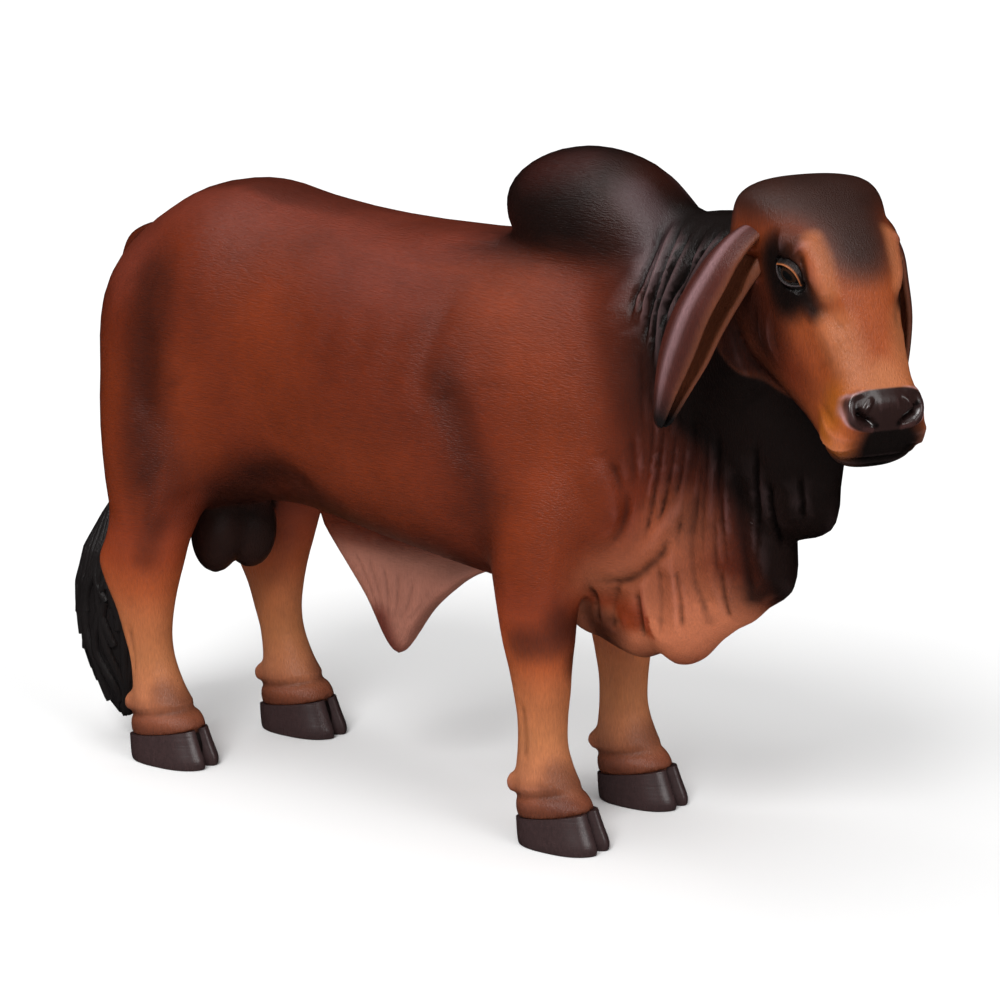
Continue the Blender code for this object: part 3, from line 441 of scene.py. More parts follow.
def on_cheek(line, side):
    """Points given forwards and upwards from the poll, dropped on one side of the head."""
    return [fall(POLL + AHEAD * f + ACROSS * (side * 0.5) + Vector((0, 0, u)), ACROSS * -side)
            for f, u in dense(line)]


def on_face(line, side):
    """Points given sideways and upwards from the poll, dropped on the front of the head."""
    return [fall(POLL + AHEAD * 0.8 + ACROSS * (side * l) + Vector((0, 0, u)), -AHEAD)
            for l, u in dense(line)]


PLACERS = {"side": on_side, "cheek": on_cheek, "face": on_face}
place = points_of(skin.data)
crease = np.zeros(len(place))


def nearness(line, radius, points, taper=0.0):
    """Indices of the points near a line, and how near: 1 on it, 0 at the radius and at tapered ends."""
    low, high = line.min(axis=0) - radius, line.max(axis=0) + radius
    near = np.nonzero(((points > low) & (points < high)).all(axis=1))[0]
    part = points[near]
    best = np.full(len(part), np.inf)
    share = np.zeros(len(part))
    for step, (start, end) in enumerate(zip(line, line[1:])):
        along = end - start
        t = np.clip(((part - start) @ along) / max(along @ along, 1e-12), 0, 1)
        reach = np.linalg.norm(part - start - t[:, None] * along, axis=1)
        share = np.where(reach < best, (step + t) / (len(line) - 1), share)
        best = np.minimum(best, reach)
    soft = np.clip(1 - (best / radius) ** 2, 0, 1)
    if taper > 0:
        soft = soft * np.clip(np.minimum(share, 1 - share) / taper, 0, 1) ** 0.7
    return near, soft


def path_of(spots):
    return np.array([tuple(spot) for spot in spots])


def normals_now():
    skin.data.vertices.foreach_set("co", place.ravel())
    skin.data.update()
    flat = np.empty(len(place) * 3)
    skin.data.vertices.foreach_get("normal", flat)
    return flat.reshape(-1, 3)


def press(view, line, radius, depth, sides=(-1, 1)):
    """Presses a groove along a line on the skin, or raises a ridge if depth is negative."""
    for side in sides:
        spots = line if view == "space" else PLACERS[view](line, side)
        near, soft = nearness(path_of(spots), radius, place, 0.0 if view == "space" else 0.22)
        soft = soft ** 2
        place[near] -= outward[near] * (soft * depth)[:, None]
        if depth > 0:
            crease[near] = np.maximum(crease[near], soft * min(depth / 0.008, 1.0))


outward = normals_now()

# Broad forms: pleats, shoulder, hip, ribs, brow and cheek
PLEATS = [
    [(0.916, 0.871), (0.892, 0.774), (0.887, 0.674), (0.895, 0.623), (0.901, 0.566)],
    [(0.798, 0.713), (0.799, 0.615), (0.776, 0.507)],
    [(0.698, 0.649), (0.646, 0.559), (0.64, 0.506)],
    [(1.024, 0.956), (1.02, 0.837), (1.018, 0.739), (1.011, 0.633)],
]
for pleat in PLEATS:
    press("side", pleat, 0.045, 0.012)
for corner in FEET:
    x, y = FEET[corner]
    for height, length, width, ahead, radius, depth in ((0.102, 0.098, 0.072, -0.018, 0.026, -0.003),
                                                        (0.134, 0.09, 0.068, -0.028, 0.018, 0.006)):
        ring = []
        for k in range(17):
            turn = 2 * math.pi * k / 16
            along = ahead + length * math.cos(turn)
            rise = math.tan(HOOF_SLOPE) * along
            ring.append(Vector((x + along, y + width * math.sin(turn), height + rise)))
        press("space", ring, radius, depth, sides=(1,))
press("cheek", [(0.11, -0.12), (0.16, -0.115), (0.195, -0.14)], 0.042, -0.01)
press("cheek", [(0.13, -0.18), (0.16, -0.19)], 0.045, 0.005)
press("cheek", [(0.205, -0.2), (0.25, -0.25), (0.28, -0.31)], 0.04, 0.007)
press("cheek", [(0.02, -0.15), (0.03, -0.22)], 0.06, 0.014)
press("cheek", [(0.03, -0.33), (0.1, -0.33)], 0.08, -0.01)
outward = normals_now()

# Folds of the neck, in rolls from the crest down to the shoulder
NECK_FOLDS = [
    [(0.759, 1.502), (0.768, 1.428), (0.76, 1.354), (0.75, 1.311), (0.756, 1.25)],
    [(0.769, 1.501), (0.784, 1.434), (0.78, 1.361), (0.772, 1.314), (0.773, 1.245)],
    [(0.806, 1.489), (0.821, 1.435), (0.811, 1.361), (0.799, 1.3), (0.797, 1.251), (0.799, 1.165)],
    [(0.857, 1.493), (0.855, 1.426), (0.833, 1.353), (0.819, 1.298), (0.818, 1.231), (0.818, 1.141)],
    [(0.912, 1.498), (0.9, 1.42), (0.886, 1.382), (0.862, 1.336), (0.846, 1.29), (0.84, 1.23)],
    [(0.964, 1.501), (0.945, 1.45), (0.914, 1.401), (0.89, 1.35), (0.868, 1.29)],
    [(1.005, 1.49), (0.975, 1.44), (0.945, 1.39)],
]
for fold in NECK_FOLDS:
    press("side", fold, 0.015, 0.013)
    press("side", [(x + 0.015, z) for x, z in fold], 0.014, -0.006)
THROAT_LINES = [
    [(0.784, 1.249), (0.795, 1.093), (0.791, 0.929)],
    [(0.818, 1.141), (0.818, 1.026), (0.799, 0.906)],
    [(0.846, 1.18), (0.839, 1.028), (0.819, 0.88)],
    [(0.872, 1.15), (0.856, 1.006), (0.832, 0.87)],
    [(0.9, 1.12), (0.88, 0.985), (0.858, 0.87)],
    [(0.93, 1.1), (0.915, 0.96), (0.89, 0.85)],
]
for line in THROAT_LINES:
    press("side", line, 0.011, 0.004)
press("side", [(0.775, 1.06), (0.767, 0.974), (0.766, 0.903), (0.748, 0.823), (0.715, 0.74)], 0.02, 0.007)
press("side", [(0.698, 0.97), (0.728, 0.915), (0.742, 0.837), (0.718, 0.762), (0.65, 0.69)], 0.022, 0.008)
press("side", [(0.66, 0.95), (0.7, 0.87), (0.69, 0.79)], 0.06, -0.008)
press("side", [(0.62, 0.655), (0.71, 0.682), (0.776, 0.738), (0.85, 0.825), (0.927, 0.94)], 0.034, -0.01)
press("side", [(0.625, 0.628), (0.718, 0.648), (0.79, 0.7), (0.865, 0.79)], 0.02, 0.008)

# Fine wrinkles fan out over the base of the neck, between three guide lines
WRINKLE_GUIDES = [
    [(0.804, 1.06), (0.783, 0.916), (0.748, 0.781)],
    [(0.9, 1.06), (0.852, 0.887), (0.8, 0.72)],
    [(1.0, 1.0), (0.989, 0.81), (0.988, 0.634)],
]
for first, second in zip(WRINKLE_GUIDES, WRINKLE_GUIDES[1:]):
    for step in range(6):
        share = (step + 0.5) / 6
        lift = 0.03 * math.sin(2.7 * step)
        line = [(a[0] + (b[0] - a[0]) * share, a[1] + (b[1] - a[1]) * share + lift)
                for a, b in zip(first, second)]
        press("side", line, 0.009, 0.005)

# Pleats and creases of the dewlap and the brisket
for pleat in PLEATS:
    press("side", pleat, 0.015, 0.01)
FINE_PLEATS = [
    [(0.85, 0.72), (0.85, 0.622), (0.838, 0.517)],
    [(0.959, 0.733), (0.952, 0.631), (0.947, 0.56)],
    [(0.623, 0.643), (0.6, 0.552), (0.596, 0.511)],
    [(1.089, 1.059), (1.065, 0.889), (1.046, 0.72)],
    [(1.112, 0.968), (1.095, 0.843), (1.09, 0.742)],
    [(1.179, 0.975), (1.178, 0.904), (1.167, 0.84)],
    [(0.99, 1.06), (0.975, 0.96), (0.972, 0.86), (0.975, 0.76)],
    [(0.74, 0.65), (0.735, 0.56), (0.722, 0.49)],
]
for pleat in FINE_PLEATS:
    press("side", pleat, 0.012, 0.0075)

# Muscles of the trunk: shoulder edge, ribs, flank, thigh and hock
press("side", [(0.294, 1.091), (0.338, 1.004), (0.398, 0.868)], 0.07, 0.007)
press("side", [(0.3, 1.3), (0.255, 1.156), (0.233, 0.992)], 0.04, 0.004)
for shift in range(4):
    top = 0.175 - 0.094 * shift
    press("side", [(top, 1.25 - 0.012 * shift), (top - 0.016, 1.14), (top - 0.028, 1.005)], 0.04, 0.002)
press("side", [(-0.1, 0.76), (-0.215, 0.79), (-0.4, 0.7)], 0.06, 0.008)
press("side", [(-0.583, 1.15), (-0.6, 1.0), (-0.599, 0.858)], 0.055, 0.006)
press("side", [(-0.495, 0.733), (-0.554, 0.633), (-0.589, 0.527)], 0.045, 0.006)
for corner in FEET:
    x, y = FEET[corner]
    side = -1 if y < 0 else 1
    back = -0.078 if corner.startswith("front") else -0.094
    low = 0.18 if corner.startswith("front") else 0.2
    press("side", [(x + back, 0.36), (x + back + 0.006, 0.28), (x + back + 0.01, low)], 0.016, 0.005,
          sides=(side,))
for step in range(6):
    press("side", [(-0.165 + 0.05 * step, 0.6 - 0.014 * step), (-0.11 + 0.03 * step, 0.5 - 0.01 * step),
                   (-0.078 + 0.012 * step, 0.4)], 0.01, 0.003)

# Face: orbit, upper-lid fold, facial crest, mouth and nose pad
press("cheek", [(0.168, -0.105), (0.207, -0.142), (0.232, -0.197), (0.244, -0.249)], 0.036, -0.009)
press("cheek", [(0.156, -0.112), (0.18, -0.13), (0.196, -0.162), (0.206, -0.195), (0.228, -0.232)],
      0.013, 0.006)
press("cheek", [(0.244, -0.254), (0.274, -0.33), (0.315, -0.398)], 0.032, -0.004)
press("cheek", [(0.15, -0.25), (0.215, -0.33), (0.262, -0.4)], 0.05, 0.006)
press("cheek", [(0.3, -0.47), (0.285, -0.51), (0.28, -0.54)], 0.1, -0.012)
press("face", [(-0.095, -0.56), (-0.04, -0.562), (0.04, -0.562), (0.095, -0.56)], 0.01, 0.005, (1,))
press("cheek", [(0.32, -0.556), (0.28, -0.553), (0.235, -0.535), (0.205, -0.505)], 0.01, 0.005)
press("face", [(-0.04, -0.437), (0.04, -0.437)], 0.036, -0.004, (1,))

skin.data.vertices.foreach_set("co", place.ravel())
skin.data.update()


def links_of(mesh):
    """Every edge both ways round, and how many edges meet at each point."""
    pairs = np.empty(2 * len(mesh.edges), dtype=int)
    mesh.edges.foreach_get("vertices", pairs)
    starts = np.concatenate([pairs[0::2], pairs[1::2]])
    ends = np.concatenate([pairs[1::2], pairs[0::2]])
    return starts, ends, np.bincount(starts, minlength=len(mesh.vertices))[:, None]


def calmed(points, links, passes):
    """The points after they are drawn towards their neighbours a number of times."""
    starts, ends, joined = links
    for _ in range(passes):
        around = np.column_stack([np.bincount(starts, column[ends], len(points)) for column in points.T])
        points = 0.5 * points + 0.5 * around / joined
    return points


# How far each point stands above or below the smooth form, for the painted shade and highlights
relief = ((place - calmed(place, links_of(skin.data), 26)) * normals_now()).sum(axis=1)
skin.data.attributes.new("relief", "FLOAT", "POINT").data.foreach_set("value", relief)

# Thinned where the form is broad, so that the folds, face and feet keep a fine mesh
calm = 1 - 0.35 * share_on_head(place) - 0.2 * share_on_legs(place) - 0.3 * np.clip(crease, 0, 1)
weigh(skin, "calm", np.clip(calm, 0, 1))
thin = skin.modifiers.new("thin", "DECIMATE")
thin.ratio = SKIN_TRIANGLES / (2 * len(skin.data.polygons))
thin.vertex_group = "calm"
thin.vertex_group_factor = 0.05
settle(skin)
skin.vertex_groups.clear()

# Eyes and nostrils get a finer mesh of their own, and are then worked in it
EYE_RADIUS = 0.027
EYE_LENGTH = 0.033            # half of the opening, corner to corner
LID_RISE = 0.017              # half of the opening, lid to lid
eyes = {}
for side, word in ((-1, "right"), (1, "left")):
    low, high = (HOME.inverted() @ Vector(corner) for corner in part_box("eye_" + word))
    gaze = (ACROSS * side * 0.84 + AHEAD * 0.5 + Vector((0, 0, -0.12))).normalized()
    along = AHEAD * 0.8 + Vector((0, 0, -0.62)) - ACROSS * side * 0.2
    along = (along - gaze * along.dot(gaze)).normalized()
    upward = gaze.cross(along)
    upward = upward if upward.z > 0 else -upward
    eyes[word] = ((low + high) / 2, gaze, along, upward)


def refine(centre, reach, cuts):
    """Cuts every edge near a point, so that small forms can be worked there."""
    work = bmesh.new()
    work.from_mesh(skin.data)
    close = [edge for edge in work.edges
             if max((vert.co - centre).length for vert in edge.verts) < reach]
    bmesh.ops.subdivide_edges(work, edges=close, cuts=cuts, use_grid_fill=True)
    bmesh.ops.triangulate(work, faces=[face for face in work.faces if len(face.verts) > 3])
    work.to_mesh(skin.data)
    work.free()


for centre, gaze, along, upward in eyes.values():
    refine(centre, 0.085, 1)
    refine(centre, 0.06, 1)
nose = fall(POLL + AHEAD * 0.8 + Vector((0, 0, -0.46)), -AHEAD)
refine(nose, 0.13, 1)
place = points_of(skin.data)
crease = np.zeros(len(place))
relief = np.empty(len(place))
skin.data.attributes["relief"].data.foreach_get("value", relief)


def eased(value, low, high):
    t = np.clip((value - low) / (high - low), 0, 1)
    return t * t * (3 - 2 * t)


worked = np.linalg.norm(place - np.array(nose), axis=1)
for centre, gaze, along, upward in eyes.values():
    worked = np.minimum(worked, np.linalg.norm(place - np.array(centre), axis=1) + 0.05)
calm_share = eased(-worked, -0.13, -0.1)[:, None]
links = links_of(skin.data)
place = place * (1 - calm_share) + calmed(place, links, 12) * calm_share
outward = normals_now()
rims = {"upper": np.zeros(len(place)), "lower": np.zeros(len(place))}
for centre, gaze, along, upward in eyes.values():
    axes = np.array([along, upward, gaze])
    near = np.nonzero(np.linalg.norm(place - np.array(centre), axis=1) < 0.075)[0]
    local = (place[near] - np.array(centre)) @ axes.T
    a, b, depth = local[:, 0], local[:, 1], local[:, 2]
    inside = np.clip(1 - (a / EYE_LENGTH) ** 2, 0, 1)
    edge = np.where(b > 0, b - LID_RISE * inside ** 0.8, -b - LID_RISE * 0.9 * inside)
    edge = np.where(np.abs(a) > EYE_LENGTH, np.hypot(np.abs(a) - EYE_LENGTH, b), edge)
    lid = np.sqrt(np.clip((EYE_RADIUS + 0.0045) ** 2 - a ** 2 * 0.55 - b ** 2 * 0.75, 0, None))
    away = eased(edge, 0.001, 0.02)
    shaped = lid * (1 - away) + depth * away
    shaped = shaped - 0.01 * eased(-edge, 0.0, 0.004)
    shaped = shaped + 0.0016 * np.exp(-((edge - 0.0025) / 0.002) ** 2)
    shaped = shaped - np.where(b > 0, 0.0035, 0.0015) * np.exp(-((edge - 0.0125) / 0.003) ** 2)
    local[:, 2] = np.where(depth > 0, shaped, depth)
    place[near] = local @ axes + np.array(centre)
    crease[near] = np.maximum(crease[near], np.exp(-((edge - 0.0125) / 0.003) ** 2))
    line = np.exp(-((edge - 0.0022) / 0.0016) ** 2)
    rims["upper"][near] = np.where(b > 0, line, 0)
    rims["lower"][near] = np.where(b <= 0, line, 0)
outward = normals_now()

NOSTRIL_RIM = [(-0.04, -0.412), (-0.064, -0.412), (-0.08, -0.424), (-0.087, -0.448), (-0.08, -0.472),
               (-0.062, -0.488), (-0.036, -0.494)]
NOSTRIL_SLIT = [(-0.074, -0.444), (-0.066, -0.458), (-0.05, -0.47), (-0.028, -0.482)]
press("face", [(-0.056, -0.436), (-0.044, -0.444)], 0.028, -0.007)
press("face", NOSTRIL_RIM, 0.014, -0.007)
press("face", NOSTRIL_SLIT, 0.012, 0.02)
nose_share = eased(-np.linalg.norm(place - np.array(nose), axis=1), -0.13, -0.1)[:, None]
place = place * (1 - nose_share) + calmed(place, links, 3) * nose_share
skin.data.vertices.foreach_set("co", place.ravel())
skin.data.update()

# Paint: sprayed in soft passes over a mahogany base, with painted shade in the hollows and painted
# highlights on some ridges
MAHOGANY = (0.118, 0.016, 0.004)
BACK_RED = (0.14, 0.025, 0.013)
EMBER = (0.205, 0.03, 0.004)
PINK_TAN = (0.43, 0.128, 0.058)
SHEATH_PINK = (0.3, 0.115, 0.078)
DARK_BROWN = (0.03, 0.006, 0.003)
BLACK = (0.006, 0.0035, 0.003)
FACE_ORANGE = (0.25, 0.05, 0.011)
FACE_HIGHLIGHT = (0.37, 0.12, 0.045)
MUZZLE_YELLOW = (0.33, 0.085, 0.009)
POLL_BROWN = (0.028, 0.011, 0.008)
PAD_PURPLE = (0.02, 0.009, 0.008)
RIM_HIGHLIGHT = (0.36, 0.23, 0.26)
LILAC_RIDGE_HIGHLIGHT = (0.07, 0.042, 0.044)
HUMP_GLOW = (0.034, 0.007, 0.005)
HUMP_HIGHLIGHT = (0.07, 0.04, 0.043)
KNEE_RED = (0.06, 0.012, 0.006)
FETLOCK_RED = (0.07, 0.018, 0.01)
TIP_RED = (0.11, 0.022, 0.014)
SCROTUM_BROWN = (0.02, 0.008, 0.006)
NOSTRIL_BROWN = (0.06, 0.022, 0.02)
PITCH = (0.002, 0.0015, 0.0015)
LID_TAN = (0.42, 0.13, 0.04)
LID_GREY = (0.15, 0.11, 0.115)
coat = np.tile(np.array(MAHOGANY), (len(place), 1))


def blend_in(near, share, colour):
    share = np.clip(share, 0, 1)[:, None]
    coat[near] = coat[near] * (1 - share) + np.array(colour) * share


def spray(view, line, radius, colour, strength=1.0, sides=(-1, 1)):
    """One pass of the spray gun along a line on the skin."""
    for side in sides:
        spots = line if view == "space" else PLACERS[view](line, side)
        near, soft = nearness(path_of(spots), radius, place)
        blend_in(near, strength * soft ** 1.5, colour)


def tint(share, colour):
    """Lays a colour over the whole skin, by a share for each point."""
    blend_in(slice(None), share, colour)


x, y, z = place.T

# Trunk
spray("side", [(-0.76, 1.33), (-0.5, 1.43), (-0.15, 1.405), (0.25, 1.395)], 0.17, BACK_RED, 0.9)
tint(eased(z, 1.36, 1.44) * eased(0.34 - x, 0.0, 0.1) * 0.5 * (np.abs(y) < 0.09), DARK_BROWN)
spray("side", [(0.44, 1.27), (0.56, 1.1), (0.59, 0.9), (0.56, 0.7)], 0.2, EMBER, 0.5)
spray("side", [(-0.25, 1.15), (-0.15, 0.9), (0.1, 0.8)], 0.22, EMBER, 0.35)
spray("side", [(-0.75, 0.95), (-0.74, 0.75), (-0.69, 0.62)], 0.14, EMBER, 0.4)
spray("side", [(-0.48, 1.0), (-0.47, 0.82)], 0.14, EMBER, 0.4)
# Painted shade: dark brown sprayed down the thigh groove and along the flank fold
spray("side", [(-0.583, 1.23), (-0.6, 1.05), (-0.61, 0.9), (-0.59, 0.76)], 0.11, DARK_BROWN, 0.75)
spray("side", [(-0.1, 0.72), (-0.24, 0.79), (-0.4, 0.71), (-0.52, 0.64)], 0.11, DARK_BROWN, 0.8)
# Painted shade behind the shoulder, down the hollows between the ribs and along the shoulder groove
spray("side", [(0.23, 1.33), (0.29, 1.2), (0.34, 1.06)], 0.11, DARK_BROWN, 0.16)
for shift in range(4):
    top = 0.175 - 0.094 * shift
    spray("side", [(top + 0.03, 1.29), (top - 0.01, 1.13), (top - 0.055, 0.94)], 0.06, DARK_BROWN, 0.1)
spray("side", [(0.3, 1.09), (0.35, 0.96), (0.395, 0.821), (0.4, 0.69)], 0.08, DARK_BROWN, 0.6)
# Painted shade: skin facing down under the belly, and skin facing back on the rump and thighs, is
# darkened
tint(eased(-outward[:, 2], 0.35, 0.9) * (z < 0.8) * (z > 0.4) * (np.abs(x) < 0.75) * 0.75, DARK_BROWN)
tint(eased(-outward[:, 0], 0.45, 0.95) * eased(z, 0.55, 0.7) * eased(-z, -1.3, -1.1) * 0.55, DARK_BROWN)
spray("side", [(-0.08, 0.82), (0.15, 0.79)], 0.11, DARK_BROWN, 0.12)

# Brisket
spray("side", [(0.6, 0.52), (0.7, 0.53), (0.82, 0.53), (0.92, 0.58)], 0.15, PINK_TAN, 1.0)
spray("side", [(0.64, 0.62), (0.8, 0.7), (0.88, 0.8)], 0.13, PINK_TAN, 0.5)
spray("side", [(0.86, 0.96), (0.9, 0.82)], 0.1, DARK_BROWN, 0.45)
spray("side", [(0.99, 0.9), (0.995, 0.76), (0.985, 0.64)], 0.075, DARK_BROWN, 0.45)
# Painted shade in the grooves of the two deepest pleats
spray("side", PLEATS[3], 0.022, BLACK, 0.85)
spray("side", PLEATS[0], 0.016, DARK_BROWN, 0.45)
spray("side", [(0.79, 1.12), (0.78, 0.98)], 0.11, DARK_BROWN, 0.45)

# Hump, crest, throat and the front of the dewlap, behind one long soft edge
tint(eased(z, 1.31, 1.42) * eased(x, 0.24, 0.34) * 0.97, BLACK)
spray("side", [(0.43, 1.57), (0.53, 1.59)], 0.09, HUMP_GLOW, 0.8)
EDGE_HEIGHTS = [0.55, 0.63, 0.74, 0.84, 0.9, 0.99, 1.04, 1.1, 1.2, 1.3, 1.4, 1.5]
EDGE_PLACES = [1.04, 1.035, 1.025, 1.012, 0.985, 0.935, 0.87, 0.82, 0.8, 0.78, 0.76, 0.74]
past_edge = x - np.interp(z, EDGE_HEIGHTS, EDGE_PLACES)
tint(eased(past_edge, -0.21, -0.02) * eased(z, 0.7, 1.0) * 0.8, DARK_BROWN)
tint(eased(past_edge, -0.06, 0.045) * 0.97, BLACK)
# A painted highlight, lilac grey, on the front of the hump
spray("side", [(0.69, 1.53), (0.745, 1.47), (0.77, 1.39)], 0.07, HUMP_HIGHLIGHT, 0.6)

# Legs, from the dark knee or hock to the tan cannon and the red coronet
LEG_TONES = [
    # height, red, green, blue
    (0.09, 0.11, 0.03, 0.014),
    (0.12, 0.19, 0.055, 0.026),
    (0.17, 0.36, 0.125, 0.055),
    (0.26, 0.38, 0.13, 0.048),
    (0.36, 0.36, 0.105, 0.035),
    (0.44, 0.29, 0.06, 0.015),
    (0.52, 0.23, 0.036, 0.008),
    (0.6, 0.19, 0.028, 0.008),
    (0.66, *MAHOGANY),
]
leg_heights, *leg_channels = zip(*LEG_TONES)
for corner in FEET:
    foot_x, foot_y = FEET[corner]
    side = -1 if foot_y < 0 else 1
    leg = np.nonzero((y * side > 0.088) & (np.abs(x - foot_x + 0.05) < 0.24) & (z < 0.66))[0]
    tone = np.stack([np.interp(z[leg], leg_heights, channel) for channel in leg_channels], axis=1)
    share = (eased(-z[leg], -0.66, -0.56) * eased(y[leg] * side, 0.088, 0.11))[:, None]
    coat[leg] = coat[leg] * (1 - share) + tone * share
    if corner.startswith("front"):
        spray("side", [(foot_x - 0.06, 0.495), (foot_x + 0.07, 0.51)], 0.065, KNEE_RED, 0.75, (side,))
        spray("side", [(foot_x + 0.02, 0.56), (foot_x + 0.045, 0.44)], 0.06, DARK_BROWN, 0.7, (side,))
    else:
        spray("side", [(foot_x + 0.01, 0.62), (foot_x - 0.02, 0.53)], 0.05, DARK_BROWN, 0.45, (side,))
    spray("side", [(foot_x + 0.01, 0.18), (foot_x + 0.07, 0.14)], 0.055, FETLOCK_RED, 0.6, (side,))

# Sheath and scrotum
tint((np.abs(y) < 0.06) * (np.abs(x + 0.01) < 0.29) * eased(-z, -0.62, -0.56), SHEATH_PINK)
spray("side", [(-0.08, 0.41), (-0.06, 0.34)], 0.055, TIP_RED, 0.95)
tint((np.abs(y) < 0.092) * (x < -0.44) * (x > -0.68) * eased(-z, -0.66, -0.62), SCROTUM_BROWN)

# Head
from_poll = place - np.array(POLL)
ahead_of, across_of, above_of = from_poll @ np.array(AHEAD), from_poll @ np.array(ACROSS), from_poll[:, 2]
JAW_AHEAD = [-0.13, -0.118, -0.078, -0.02, 0.036, 0.084, 0.124, 0.16, 0.195, 0.234, 0.274, 0.31]
JAW_BELOW = [-0.3, -0.378, -0.428, -0.463, -0.49, -0.512, -0.533, -0.552, -0.572, -0.586, -0.59, -0.58]
over_jaw = above_of - np.interp(ahead_of, JAW_AHEAD, JAW_BELOW)
head_part = eased(over_jaw, -0.02, 0.015) * eased(ahead_of, -0.125, -0.085) * (np.abs(across_of) < 0.2)
head_part = head_part * (place[:, 2] > 1.0)
tint(head_part, FACE_ORANGE)
tint(head_part * eased(above_of, -0.2, -0.07) * 0.6, MAHOGANY)
tint(head_part * eased(above_of, -0.125, -0.035) * 0.95, POLL_BROWN)
tint(head_part * eased(-ahead_of, 0.0, 0.07) * 0.9, DARK_BROWN)
spray("face", [(0.0, -0.01), (0.0, -0.07), (0.004, -0.115)], 0.115, POLL_BROWN, 0.95)
spray("cheek", [(0.03, -0.2), (0.07, -0.33), (0.13, -0.4)], 0.12, MAHOGANY, 0.9)
spray("cheek", [(0.11, -0.23), (0.085, -0.3), (0.06, -0.36)], 0.095, DARK_BROWN, 0.85)
# Painted shade under the jaw and low on the back of the cheek
tint(head_part * eased(-over_jaw, -0.12, -0.02) * eased(-ahead_of, -0.25, -0.13) * 0.97, DARK_BROWN)
tint(head_part * eased(-ahead_of, -0.09, 0.01) * eased(-above_of, 0.14, 0.22) * 0.8, DARK_BROWN)
spray("cheek", [(0.11, -0.15), (0.15, -0.185), (0.15, -0.24)], 0.065, BLACK, 1.0)
spray("cheek", [(0.12, -0.12), (0.165, -0.125)], 0.045, BLACK, 0.8)
spray("cheek", [(0.18, -0.19), (0.225, -0.255)], 0.04, BLACK, 0.95)
# Painted highlights on the brow ridge and down the bridge of the face
spray("cheek", [(0.19, -0.108), (0.222, -0.15), (0.246, -0.21)], 0.034, FACE_HIGHLIGHT, 0.6)
spray("face", [(-0.08, -0.29), (-0.07, -0.34), (-0.05, -0.39), (0.0, -0.39)], 0.065, FACE_HIGHLIGHT, 0.75)
spray("cheek", [(0.3, -0.44), (0.285, -0.49), (0.3, -0.53)], 0.07, MUZZLE_YELLOW, 0.95)
in_front = eased(ahead_of, 0.3, 0.335)
lip_front = eased(ahead_of + 0.05 * eased(across_of, 0.0, 0.05), 0.255, 0.305)
from_chin = np.hypot(across_of / np.where(across_of > 0, 0.12, 0.078), (above_of + 0.53) / 0.078)
tint(lip_front * eased(-from_chin, -1.35, -0.55), BLACK)
tint(head_part * eased(ahead_of, 0.15, 0.27) * eased(-above_of, 0.53, 0.57) * 0.95, BLACK)
from_pad = (np.abs(across_of / 0.096) ** 3 + np.abs((above_of + 0.451) / 0.045) ** 3) ** (1 / 3) - 1
tint(in_front * eased(-from_pad, -0.06, 0.04), PAD_PURPLE)
# A painted highlight, lilac, on the outer rims of the nostrils
rim_highlight_side = eased(np.abs(across_of), 0.03, 0.07) * eased(above_of, -0.495, -0.47)
tint(in_front * np.exp(-((from_pad - 0.03) / 0.03) ** 2) * rim_highlight_side * 0.5, RIM_HIGHLIGHT)
spray("face", [(l * 1.02, u + 0.002) for l, u in NOSTRIL_RIM[1:]], 0.008, NOSTRIL_BROWN, 0.6)
spray("face", NOSTRIL_SLIT, 0.01, PITCH, 0.95)
for centre, gaze, along, upward in eyes.values():
    offset = place - np.array(centre)
    sideways, height = offset @ np.array(along), offset @ np.array(upward)
    patch = np.hypot(sideways / 0.09, (height + 0.018) / 0.064)
    tint(eased(-patch, -1.38, -0.45) * (np.linalg.norm(offset, axis=1) < 0.14), BLACK)
tint(rims["upper"] * 0.9, LID_TAN)
tint(rims["lower"] * 0.45, LID_GREY)
# Painted shade on the cheek under the root of the ear
spray("cheek", [(0.035, -0.33), (0.02, -0.25)], 0.07, BLACK, 0.6)

# Painted shade darkens the hollows and creases, and painted highlights lighten the ridges, lilac towards
# the front
FULL_RELIEF = 0.0042          # height or depth at which the shading is full
HOLLOW_SHADE, RIDGE_HIGHLIGHT_GAIN = 0.72, 0.35
hollow = np.maximum(np.clip((-relief - 0.0004) / FULL_RELIEF, 0, 1), crease)
ridge = np.clip((relief - 0.0014) / FULL_RELIEF, 0, 1)
coat *= (1 - HOLLOW_SHADE * hollow + RIDGE_HIGHLIGHT_GAIN * ridge)[:, None]
coat += np.outer(ridge * eased(x, 0.3, 0.6), LILAC_RIDGE_HIGHLIGHT)

# The hair stroke runs back and down on the trunk, and down on neck, legs and face
downward = np.clip(np.maximum.reduce([share_on_legs(place), head_part, eased(x, 0.62, 0.85)]), 0, 1)
bare = in_front * eased(-from_pad, -0.1, 0.02)


def store(mesh, name, values):
    """A point attribute: three numbers make a colour, one a plain value."""
    if values.ndim == 2:
        layer = mesh.attributes.new(name, "FLOAT_COLOR", "POINT")
        layer.data.foreach_set("color", np.column_stack([values, np.ones(len(values))]).ravel())
    else:
        layer = mesh.attributes.new(name, "FLOAT", "POINT")
        layer.data.foreach_set("value", values)


def smooth_shade(mesh):
    mesh.polygons.foreach_set("use_smooth", [True] * len(mesh.polygons))


def finished(obj, material):
    """Carries a drafted piece to the frame, shades it smooth and gives it its paint."""
    obj.data.transform(HOME)
    smooth_shade(obj.data)
    obj.data.materials.append(material)


def lacquer(name):
    """A new material, with its node tree and its Principled shader."""
    material = bpy.data.materials.new(name)
    material.use_nodes = True
    return material, material.node_tree, material.node_tree.nodes["Principled BSDF"]


